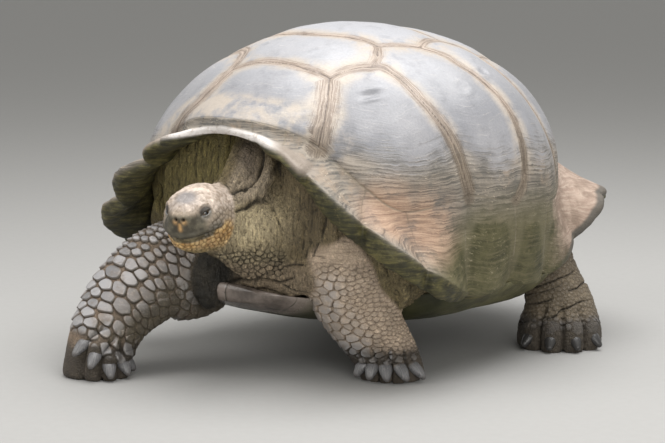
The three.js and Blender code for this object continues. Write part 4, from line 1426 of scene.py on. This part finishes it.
def crease_skin(points, normals, on, on_head, slack, left_side):
    """How far the skin rises between its folds, and the painted shade in its deep creases."""
    _, y, z = points.T
    # Upright folds beside the neck, cross folds low on the chest, fine ones elsewhere.
    upright = ridges(points, 26, (1, 1, 0.16), 51)
    level = ridges(points, 22, (0.3, 0.6, 1), 61)
    low_chest = smoothstep(290, 235, z) * smoothstep(-380, -420, y)
    crease = mix(upright, level, low_chest)
    fine_crease = ridges(points, 8, (1, 1, 0.28), 71, 5)
    rise = -3.8 * (1 - crease) * slack - 2.4 * (1 - fine_crease) * slack
    # Legs crease across, most at the wrist, the elbow and the back.
    cross = ridges(points, 11, (0.22, 0.22, 1), 81, 6)
    rows = ridges(points, 6.5, (0.06, 0.06, 1), 85, 4)
    on_left = on["foreleg_left"]
    off_floor = smoothstep(12, 30, z)
    bent = on["foreleg_right"] * (0.2 + 0.8 * smoothstep(0.1, 0.7, normals @ RIGHT_LEG_INSIDE))
    bent += on_left * (0.25 + 0.6 * smoothstep(215, 250, z) + 0.2 * left_side)
    bent += 0.3 * np.maximum(on["hindleg_left"], on["hindleg_right"])
    rise -= 1.9 * (1 - cross) * np.clip(bent, 0, 1) * off_floor
    rise -= 2.0 * (1 - rows) * on_left * np.maximum(left_side, smoothstep(200, 240, z)) * off_floor
    sink, dark = deep_creases(points)
    rise -= sink * np.clip(1 - on_head, 0, 1)
    rise += 1.4 * fractal(points, 60, 2, 91) * (1 - on_head)
    return rise * smoothstep(0, 6, z), dark


def cover_leg(name, number, points, normals, on_leg, rng, cover):
    """Horny plates over one leg; `cover` holds plate, gap, shade and lift for every point."""
    chosen = np.where((on_leg > 0.35) & (points[:, 2] > 3))[0]
    places, there = points[chosen], on_leg[chosen]
    claws = claw_stations(name)
    roots = np.array([stations[0, :3] for stations, _ in claws])
    level = roots[nearest(places, roots)[1], 2]
    low = smoothstep(level + 22, level + 6, places[:, 2])
    radius, height, roundness, polish = leg_plates(name, places, normals[chosen], low)
    # Plates are wider than they are tall.
    axis, tall = LEG_AXIS.get(name, (UP, 0.1))
    squashed = places + tall * (places @ unit(axis))[:, None] * unit(axis)
    mounds = [squashed[np.argmin(((places - mound) ** 2).sum(1))] for _, mound in claws]
    mound_size = toe_spread(claws) * (0.5 if name == "foreleg_right" else 0.42)
    centres, sizes = spread_plates(squashed, radius, 100 + number, mounds, [mound_size] * len(mounds))
    own, to_edge, offset, middle, size = plate_field(squashed, centres, sizes)
    down = unit([-0.1, -0.62, -0.78]) if name == "foreleg_right" else unit([0.12, 0.1, -1.0])
    inside = -1.6 * np.log(np.exp(-(to_edge - 0.7) / 1.6) + np.exp(-(1.12 - middle) * size / 1.6))
    inside = mix(to_edge - 0.5, inside, roundness)
    raised = smoothstep(0, mix(1.6, 2.8, smoothstep(6, 16, size)), inside)
    downness = np.clip(0.5 + 0.55 * (offset @ down) / np.maximum(size, 1), 0, 1)
    odd = rng.uniform(-1, 1, len(centres))[own]
    on_toe = own < len(mounds)
    height = np.where(on_toe, 0.4 if name.startswith("hind") else 3.4, height)
    profile = raised * (0.22 + 0.9 * downness + 0.15 * odd) - 0.25 * (1 - raised)
    polish = np.where(on_toe, {"foreleg_right": 0.6, "foreleg_left": 0.35}.get(name, 0.12), polish)
    # Painted shadow: a dark crescent under each plate's lower edge, added to the dark seam round the plate.
    crescent = bell(inside + 0.6, 2.2) * smoothstep(0.45, 0.8, downness)
    seam = np.maximum(0.5 * bell(inside + 0.3, 1.1), crescent)
    cover["lift"][chosen] = height * profile * there
    cover["plate"][chosen] = np.maximum(cover["plate"][chosen], raised * polish * there)
    cover["gap"][chosen] = seam * there * smoothstep(0.2, 1.2, height)
    cover["shade"][chosen] = odd


def cover_throat(points, throat, rng, cover):
    """The low throat is rough with thick scales, with dark gaps between them."""
    chosen = np.where(throat > 0.2)[0]
    scale_size = 6.6 * (1 + 0.3 * noise(points[chosen], 30, 77))
    places = points[chosen] * [1, 1, 1.3] + 3 * drift(points[chosen], 14, (1, 2, 3))
    centres, sizes = spread_plates(places, scale_size, 120)
    own, to_edge = plate_field(places, centres, sizes)[:2]
    raised = smoothstep(0, 3.0, to_edge) * (1 + 0.45 * rng.uniform(-1, 1, len(centres))[own])
    dark = (1 - smoothstep(0.2, 1.6, to_edge)) * throat[chosen]
    cover["lift"][chosen] += 4.2 * raised * throat[chosen]
    cover["gap"][chosen] = np.maximum(cover["gap"][chosen], dark)


def cover_head(points, a, c, on_head, slit, rng, cover):
    """Small scales on the head, larger on the crown and finer on the lids; none on the beak.

    a and c are how far ahead and above each point lay on the head before it was sculpted.
    """
    is_beak = (a > 62) & (c < 30) & (c > mouth_height(a) - 14)
    chosen = np.where((on_head > 0.3) & ~is_beak & (slit < 0.1))[0]
    on_top = smoothstep(22, 44, c[chosen])
    jaw = smoothstep(-2, -12, (c - mouth_height(a))[chosen])
    radius = mix(mix(5.4, 4.8, jaw), mix(6.5, 11, smoothstep(0, 40, a[chosen])), on_top)
    u, w, out, _ = eye_coordinates(points[chosen])
    lids = smoothstep(24, 14, np.hypot(u, w)) * (out > 0)
    centres, sizes = spread_plates(points[chosen], radius * mix(1, 0.6, lids), 110)
    own, to_edge, _, middle, _ = plate_field(points[chosen], centres, sizes)
    raised = smoothstep(0.1, 1.9, to_edge)
    odd = rng.uniform(-1, 1, len(centres))[own]
    strength = on_head[chosen] * (1 - 0.8 * lids) * mix(1, 0.27, on_top)
    bulge = raised * (0.8 + 0.3 * odd + 0.5 * (1 - middle)) * mix(1, 1.9, jaw)
    cover["lift"][chosen] = np.maximum(cover["lift"][chosen], bulge * strength)
    cover["plate"][chosen] = raised * 0.15 * strength
    cover["gap"][chosen] = (1 - raised) * strength * mix(0.8, 1.0, jaw)
    cover["shade"][chosen] = odd


def fine_flesh():
    """The joined flesh as a mesh, split finely where it shows, and how much each part owns a point."""
    fields = flesh_fields()
    shares = lambda: {name: smoothstep(14, 4, sample(field, points)) for name, field in fields.items()}
    points, quads = to_surface(join_flesh(fields))
    _, cy, cz = points[quads].mean(1).T
    hidden = (np.abs(cy) < 215) & (cz > 190) | (cz > 480) & (cy > -370) | (cz > 420) & (cy > -300)
    points, quads, others = refine(points, quads, [], ~hidden)
    on = shares()
    legs_here = np.max([on[name] for name in LEGS], 0)
    cx, cy, cz = points[quads].mean(1).T
    fine = (on["head"][quads].mean(1) > 0.3) | (legs_here[quads].mean(1) > 0.5) & (cz < 262)
    fine |= (cx > -30) & (cx < 150) & (cy < -420) & (cz > 205) & (cz < 300)
    points, quads, others = refine(points, quads, others, fine)
    points = smooth_mesh(points, quads, others, 4)
    return points, quads, others, shares()


def build_skin():
    points, quads, others, on = fine_flesh()
    ahead, _, above = to_head(points)
    on_head = on["head"] * smoothstep(-90, -60, ahead)
    legs = {name: on[name] * (1 - on["trunk"] * 0.7) for name in LEGS}
    arm_skin = armpit(points)
    legs["foreleg_right"] = legs["foreleg_right"] * (1 - np.clip(1.6 * arm_skin, 0, 1))
    on_leg = np.max(list(legs.values()), 0)
    normals = face_normals(points, [quads, fans(others)])
    if normals[np.argmax(points[:, 2]), 2] < 0:
        quads, others, normals = quads[:, ::-1], [p[::-1] for p in others], -normals

    points, mouth, slit = sculpt_head(points, normals, on_head)
    toe = shape_toes(points, normals, on)
    points = smooth_mesh(points, quads, others, 2, toe)
    normals = face_normals(points, [quads, fans(others)])

    x, y, z = points.T
    slack = np.clip(1 - on_leg - on_head, 0, 1)
    throat = slack * smoothstep(292, 262, z) * smoothstep(-425, -450, y) * smoothstep(205, 225, z)
    throat = throat * smoothstep(5, 25, x) * smoothstep(146, 118, x + 12 * noise(points, 30, 79))
    left_side = smoothstep(0.35, -0.1, normals @ LEFT_LEG_FRONT)
    rise, crease_shade = crease_skin(points, normals, on, on_head, slack, left_side)
    points = points + normals * rise[:, None]
    normals = face_normals(points, [quads, fans(others)])

    # Horny plates on the legs, and smaller scales on the throat and the head.
    cover = {name: np.zeros(len(points)) for name in ("plate", "gap", "shade", "lift")}
    rng = np.random.default_rng(7)
    for number, name in enumerate(LEGS):
        cover_leg(name, number, points, normals, legs[name], rng, cover)
    cover_throat(points, throat, rng, cover)
    cover_head(points, ahead, above, on_head, slit, rng, cover)
    points = points + normals * (cover.pop("lift") * smoothstep(0, 8, points[:, 2]))[:, None]
    points[:, 2] = np.maximum(points[:, 2], 0)

    obj = new_mesh("skin", points, [quads] + [np.array([p]) for p in others])
    normals = face_normals(points, [quads, fans(others)])
    flat = smooth_mesh(points, quads, others, 10)
    # hollow: how far each point lies below its smoothed surface, used for painted shade in hollows and
    # painted highlight on ridges.
    set_attributes(obj, hollow=((flat - points) * normals).sum(1),
                   crease=crease_shade * np.clip(1 - on_head, 0, 1), **cover, on_head=on_head,
                   rows=on["foreleg_left"] * left_side, slack=slack * np.clip(1 - 1.3 * arm_skin, 0, 1),
                   mouth=mouth)
    set_colour(obj, "tone", skin_tones(points, normals, on, on_head, on_leg, toe, throat))
    set_attributes(obj, horn=horn_mask(points, on_head))
    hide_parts("trunk", "neck", "tail", "head", "lower_jaw", *LEGS)
    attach(obj, "root")
    return obj


def horn_mask(points, on_head):
    """The beak's horny sheath."""
    a, _, c = to_head(points)
    below = c - mouth_height(a)
    upper = smoothstep(56, 74, a) * smoothstep(-1, 1.5, below) * smoothstep(24, 8, c)
    lower = smoothstep(40, 56, a) * smoothstep(-14, -10, below) * smoothstep(1, -1, below)
    return np.maximum(upper, lower) * on_head


def paint(base, layers):
    """Lay (where, strength, colour) over a base colour, one after another.

    A layer may go on with a second colour and how much of it there is at each point.
    """
    for where, strength, rgb, *second in layers:
        rgb = np.array(rgb)
        if second:
            rgb = mix(rgb, np.array(second[0]), second[1][:, None])
        base = mix(base, rgb, (where * strength)[:, None])
    return base


def skin_tones(points, normals, on, on_head, on_leg, toe, throat):
    """Base colour of the skin, region by region."""
    x, y, z = points.T
    lump = 0.5 + 0.5 * fractal(points, 55, 3, 121)
    spot = 0.5 + 0.5 * fractal(points, 16, 3, 131)
    everywhere = np.ones(len(points))
    off_leg = 1 - on_leg
    left, right = on["foreleg_left"], on["foreleg_right"]
    hind = np.maximum(on["hindleg_left"], on["hindleg_right"])
    front_of_left = smoothstep(0.0, 0.6, normals @ LEFT_LEG_FRONT)
    toes = np.clip(toe + 1.2 * smoothstep(84, 50, z), 0, 1) * on_leg
    beside_neck = np.exp(-(((x - 80) / 58) ** 2 + ((z - 322) / 58) ** 2)) * smoothstep(-380, -430, y)
    # Painted shade: the underarm behind the right foreleg is painted near black, fading to brown further out.
    underarm = smoothstep(48, -24, x) * smoothstep(272, 235, z) * smoothstep(-360, -400, y) * off_leg
    underarm_shade = paint(np.zeros((len(points), 3)), [
        (everywhere, 1, (0.007, 0.006, 0.003), (0.13, 0.10, 0.07), smoothstep(-74, -100, x))])
    tone = paint(np.zeros((len(points), 3)), [
        (everywhere, 1, (0.20, 0.155, 0.085), (0.145, 0.11, 0.055), lump),
        # Greenish brown in the deep pockets under the shell, paler on the side of the neck.
        (smoothstep(20, -60, x) * smoothstep(260, 330, z), 0.8, (0.25, 0.21, 0.075)),
        (np.clip(beside_neck * 1.15, 0, 1), 1, (0.54, 0.45, 0.285), (0.40, 0.33, 0.20), spot),
        # Painted shade in the hollow between the neck and the left shoulder.
        (bell((x - 168 - 0.2 * (z - 320)) / 30, 1) * smoothstep(240, 290, z) * smoothstep(430, 370, z),
         0.7, (0.095, 0.072, 0.038)),
        # The ropes of skin on the neck, and the dark nape between them.
        (smoothstep(355, 385, z) * smoothstep(-445, -470, y) * smoothstep(10, 30, x),
         0.7, (0.34, 0.28, 0.21)),
        (bell((x - 30) / 34, 1) * smoothstep(368, 392, z) * smoothstep(-400, -430, y)
         * smoothstep(-488, -462, y), 0.7, (0.12, 0.09, 0.07)),
        (throat, 0.9, (0.30, 0.25, 0.16), (0.17, 0.14, 0.085), lump),
        # The chest, the underarm (painted in deep shade) and the flap of skin over the left thigh.
        (smoothstep(262, 236, z) * smoothstep(-380, -420, y) * smoothstep(-20, 10, x) * off_leg,
         0.8, (0.25, 0.19, 0.13), (0.17, 0.13, 0.085), spot)])
    # Painted shade over the underarm.
    tone = mix(tone, underarm_shade, (underarm * 0.95)[:, None])
    tone = paint(tone, [
        (smoothstep(262, 290, x) * smoothstep(-400, -380, y) * smoothstep(-230, -260, y) * off_leg,
         0.7, (0.19, 0.155, 0.075)),
        # Legs: brown skin under blue-grey plates.
        (on_leg, 1, (0.165, 0.115, 0.075), (0.29, 0.215, 0.155), spot),
        # Painted shade on the right foreleg's turned-away side.
        (right * smoothstep(-0.4, 0.4, normals @ RIGHT_LEG_TURNED),
         0.6, (0.10, 0.082, 0.062), (0.17, 0.135, 0.10), spot),
        (left, 0.92, (0.64, 0.50, 0.375), (0.50, 0.385, 0.28), spot),
        (left * smoothstep(110, 50, z) * front_of_left, 0.85, (0.085, 0.066, 0.048)),
        # Painted shade, darker still, on the right foreleg's inner side.
        (right * smoothstep(0.0, 0.7, normals @ RIGHT_LEG_INSIDE),
         0.9, (0.085, 0.07, 0.042), (0.13, 0.105, 0.065), spot),
        (hind, 0.92, (0.16, 0.125, 0.08), (0.225, 0.18, 0.12), spot),
        (toes, 0.93, (0.026, 0.021, 0.016), (0.06, 0.048, 0.036), spot),
        # Painted shade, near black, deep in the right armpit.
        (np.clip(2.2 * armpit(points), 0, 1), 0.97, (0.007, 0.006, 0.003))])
    return mix(tone, head_tones(points, lump, spot), on_head[:, None])


def head_tones(points, lump, spot):
    """Base colour of the head: pale crown, tan cheeks, orange jaw and dark beak."""
    a, b, c = to_head(points)
    aside = np.abs(b)
    everywhere = np.ones(len(points))
    pitted = smoothstep(0.42, 0.70, 0.5 + 0.5 * fractal(points, 7, 3, 153))
    blotch = smoothstep(0.3, 0.7, 0.5 + 0.5 * fractal(points, 9, 3, 141))
    crown = paint(np.zeros((len(points), 3)), [
        (everywhere, 1, (0.50, 0.405, 0.335), (0.64, 0.54, 0.46), spot),
        (pitted, 0.75, (0.31, 0.235, 0.175))])
    head = paint(np.zeros((len(points), 3)), [
        (everywhere, 1, (0.30, 0.235, 0.17), (0.38, 0.305, 0.225), spot)])
    head = mix(head, crown, smoothstep(20, 40, c + 8 * (lump - 0.5))[:, None])
    patch = np.exp(-((a - 66) / 18) ** 2 - ((b - 0) / 21) ** 2) * smoothstep(14, 24, c)
    u, v, out, _ = eye_coordinates(points)
    open_side = out > 0
    lids = smoothstep(19, 12, np.hypot(u, v * 1.2)) * open_side
    lid_edge = bell(v + 3.9 - 0.012 * u ** 2, 1.3) * smoothstep(14, 9, np.abs(u)) * open_side
    below = c - mouth_height(a)
    jaw = smoothstep(0, -6, below) * smoothstep(-46, -26, a + 0.4 * c)
    behind = smoothstep(34, 18, a) * smoothstep(-22, 4, a) * smoothstep(12, -6, c)
    front = smoothstep(76, 84, a)
    streak = np.exp(-((b - 1.5) / 4.0) ** 2) * smoothstep(11, 5, c) * smoothstep(-13, -3, c) * front
    beside = np.exp(-((np.abs(b - 1.5) - 9) / 5.5) ** 2 - ((c - 10) / 5) ** 2) * front
    return paint(head, [
        (np.clip(patch * 1.4, 0, 0.85), 1, (0.21, 0.20, 0.205)),
        # The snout, the brows and the blotched cheeks.
        (smoothstep(56, 76, a) * smoothstep(30, 16, c),
         0.95, (0.022, 0.020, 0.011), (0.085, 0.077, 0.050), blotch),
        (np.exp(-((a - 66) / 14) ** 2 - ((aside - 36) / 10) ** 2 - ((c - 22) / 14) ** 2),
         0.85, (0.045, 0.042, 0.034)),
        (np.exp(-((a - 48) / 26) ** 2 - ((c + 4) / 20) ** 2) * smoothstep(20, 34, aside),
         0.55, (0.085, 0.078, 0.060), (0.22, 0.185, 0.14), blotch),
        # Painted shade from the brow darkens the upper lid; the lower lid keeps a paler brown.
        (lids, 0.92, (0.20, 0.18, 0.15), (0.018, 0.016, 0.015), smoothstep(-0.5, 1.5, v)),
        (lid_edge, 0.7, (0.34, 0.36, 0.38)),
        (np.maximum(jaw, behind * 0.9), 0.92, (0.42, 0.225, 0.055), (0.74, 0.49, 0.20), blotch),
        # The upper lip, the lower beak, the orange marks between the nostrils, and the chin.
        (smoothstep(20, 8, below) * smoothstep(-1, 1, below) * smoothstep(16, 34, a),
         0.8, (0.060, 0.052, 0.034)),
        (smoothstep(-16, -12, below) * smoothstep(0, -2, below) * smoothstep(30, 42, a),
         0.92, (0.045, 0.04, 0.02), (0.13, 0.11, 0.06), blotch),
        (np.maximum(streak, 0.75 * beside), 0.9, (0.62, 0.36, 0.14)),
        (smoothstep(-42, -58, c) * smoothstep(-60, 0, a), 0.8, (0.20, 0.155, 0.06))])


def skin_material():
    s = Shader("scaly_skin")
    tone = s.attribute("tone", "Color")
    hollow, plate, gap, shade, rows = s.attributes("hollow plate gap shade rows")
    on_head, mouth, horn, crease, slack = s.attributes("on_head mouth horn crease slack")
    mottle, fine = s.noise(0.035, 6, 0.6), s.noise(0.003, 5, 0.6)
    speck = s.noise(0.008, 6, 0.7)
    warp = s.noise(0.02, 3) - 0.5
    x, y, z = s.axes()
    pebble = s.cell_edge(0.0058, s.vector(x + warp * 0.006, y, z + warp * 0.01))
    wrinkle = s.cell_edge(0.0052, s.vector(x * 0.2, y * 0.2, z + warp * 0.014))
    small = s.cell_edge(0.0034)
    stroke_place = s.vector(x * 250, y * 250, (z + warp * 0.02) * 62)
    stroke = s.noise(1.0, 4, 0.65, stroke_place, 0.3)
    bare = (plate + on_head * 0.6).step(0.5, 0.15)
    base = s.mix(mottle.step(0.35, 0.65) * 0.5, tone, s.mix(0.5, tone, (0.07, 0.055, 0.035)))
    base = s.coats(base, [
        (speck.step(0.5, 0.7) * 0.7, (1.75, 1.75, 1.72), "times"),
        (slack * stroke.step(0.48, 0.36) * 0.7, (0.3, 0.28, 0.25), "times"),
        (slack * stroke.step(0.54, 0.66) * 0.6, (1.8, 1.75, 1.65), "times")])
    # Plates: worn blue-grey, lighter toward the middle.
    worn = s.mix(shade.step(-1, 1), (0.17, 0.171, 0.178), (0.335, 0.335, 0.348))
    worn = s.coats(worn, [
        (speck.step(0.45, 0.7) * 0.4, (0.4, 0.375, 0.35)),
        (mottle.step(0.5, 0.36) * 0.6, (0.12, 0.112, 0.105))])
    base = s.mix(plate * 0.92 * mottle.step(0.25, 0.55, 0.6, 1.0), base, worn)
    # Dark seams between plates and scales, with painted shadow under the leg plates' lower edges.
    base = s.mix(gap * 0.72, base, s.mix(0.15, (0.02, 0.014, 0.009), base))
    net = s.mix(rows, *(s.mix(cell.step(0.1, 0.0), (0, 0, 0), (1, 1, 1)) for cell in (pebble, wrinkle)))
    base = s.mix(net * (bare * (0.4 + rows * -0.2)), base, s.mix(0.4, base, (0.035, 0.027, 0.018)))
    base = s.coats(base, [
        # Painted shade in hollows and painted highlight on ridges.
        (hollow.step(0.3, 1.7, 0, 0.68) * (1.0 + rows * -0.35), (0.028, 0.022, 0.012)),
        (hollow.step(-0.4, -1.6, 0, 0.7), (1.5, 1.5, 1.5), "times"),
        # Painted shade in the deep creases.
        (crease * 0.85, (0.015, 0.011, 0.006)),
        # Painted shade in the mouth's groove, the nostrils and the eye slit.
        (mouth, (0.01, 0.008, 0.006))])
    rough = plate.step(0, 1, 0.68, 0.4) + (fine - 0.5) * 0.3
    rough = rough + horn * -0.12
    fill = s.mix(rows, pebble.step(0.0, 0.22), wrinkle.step(0.0, 0.25))
    bumps = fill * bare * 1.2 + fine * 0.3
    bumps = bumps + small.step(0.0, 0.2) * bare * 0.35
    bumps = bumps + s.noise(0.011, 5, 0.6) * 0.8
    bumps = bumps + stroke * slack * 2.2
    return s.finish(base, rough, bumps, 0.0016, 0.85)


# ---- claws and eyes -----------------------------------------------------------------------
def build_claws():
    s = Shader("claw_horn")
    along, around, hind = s.attributes("along around hind")
    grain = s.noise(0.004, 5, 0.6)
    stripes = s.noise(1.0, 4, 0.6, s.vector(around * 2.2, along * 0.6, 0.0))
    base = s.mix(stripes.step(0.38, 0.62), (0.085, 0.083, 0.085), (0.185, 0.182, 0.186))
    base = s.coats(base, [
        (along.step(0.28, 0.05), (0.09, 0.072, 0.055)),
        (along.step(0.75, 1.0, 0, 0.6), (0.07, 0.06, 0.055)),
        (grain.step(0.55, 0.7) * 0.3, (0.36, 0.33, 0.3)),
        # Painted shade: the hind claws are darkened.
        (hind * 0.9, (0.022, 0.021, 0.02))])
    material = s.finish(base, 0.12 + grain * 0.2, stripes + grain * 0.5, 0.0007, 0.7)
    for name in LEGS:
        for i, (stations, _) in enumerate(claw_stations(name)):
            root, tip = CLAW["root"], CLAW["tip"]
            sizes = [[root, root * 0.8], [root * 0.92, root * 0.77], [tip, tip]]
            points, quads, triangles = loft(np.hstack([stations, sizes]), UP, 0.15, 2.0, 28, 26)
            away = unit(stations[2] - stations[0])
            down = (points - stations[0]) @ away / np.linalg.norm(stations[2] - stations[0])
            sideways = (points - stations[0]) @ unit(np.cross(away, UP))
            points[:, 2] = np.maximum(points[:, 2], 0.3)
            claw = new_mesh(f"nail_{name}_{i + 1}", points, [quads, triangles])
            is_hind = np.full(len(points), float(name.startswith("hind")))
            set_attributes(claw, along=down, around=sideways, hind=is_hind)
            claw.data.materials.append(material)
            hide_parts(f"claw_{name}_{i + 1}")
            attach(claw, "root")


def build_eyes():
    s = Shader("eye_surface")
    out = s.attribute("from_pupil")
    fibres = s.noise(0.0012, 4, 0.7)
    iris = s.mix(fibres, (0.035, 0.022, 0.012), (0.11, 0.07, 0.035))
    base = s.mix(out.step(4.2, 3.4), iris, (0.004, 0.004, 0.004))
    base = s.mix(out.step(8.0, 9.0), base, (0.16, 0.12, 0.1))
    material = s.finish(base, 0.08, fibres, 0.0001, 0.2, Coat_Weight=1.0, Coat_Roughness=0.03)
    for name, side in (("eye_left", 1), ("eye_right", -1)):
        rings, marks = [], []
        rows, columns = 40, 48
        axis = EYE_OUT * [1, side, 1]
        u = unit(np.cross(axis, [0, 0, 1]))
        v = np.cross(axis, u)
        for row in range(rows + 1):
            polar = math.pi * row / rows
            radius = EYE_RADIUS + 0.8 * math.exp(-(polar / 0.55) ** 2)     # the cornea stands out
            angle = 2 * np.pi * np.arange(columns) / columns
            if row in (0, rows):
                angle = angle[:1]
            ring = radius * (math.cos(polar) * axis + math.sin(polar)
                             * (np.cos(angle)[:, None] * u + np.sin(angle)[:, None] * v))
            rings.append(ring)
            marks.append(np.full(len(ring), EYE_RADIUS * polar))
        offsets, quads, triangles = ring_mesh(rings)
        centre = (EYE_PLACE[0], side * (EYE_PLACE[1] - EYE_SUNK), EYE_PLACE[2])
        points = in_head(*(offsets + centre).T)
        ball = new_mesh("eyeball" + name[3:], points, [quads, triangles])
        set_attributes(ball, from_pupil=np.concatenate(marks))
        ball.data.materials.append(material)
        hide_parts(name)
        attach(ball, "root")


# ---- everything together ------------------------------------------------------------------
add_camera()
add_lights()
add_floor()
build_carapace().data.materials.append(shell_material())
build_plastron().data.materials.append(belly_material())
build_skin().data.materials.append(skin_material())
build_claws()
build_eyes()
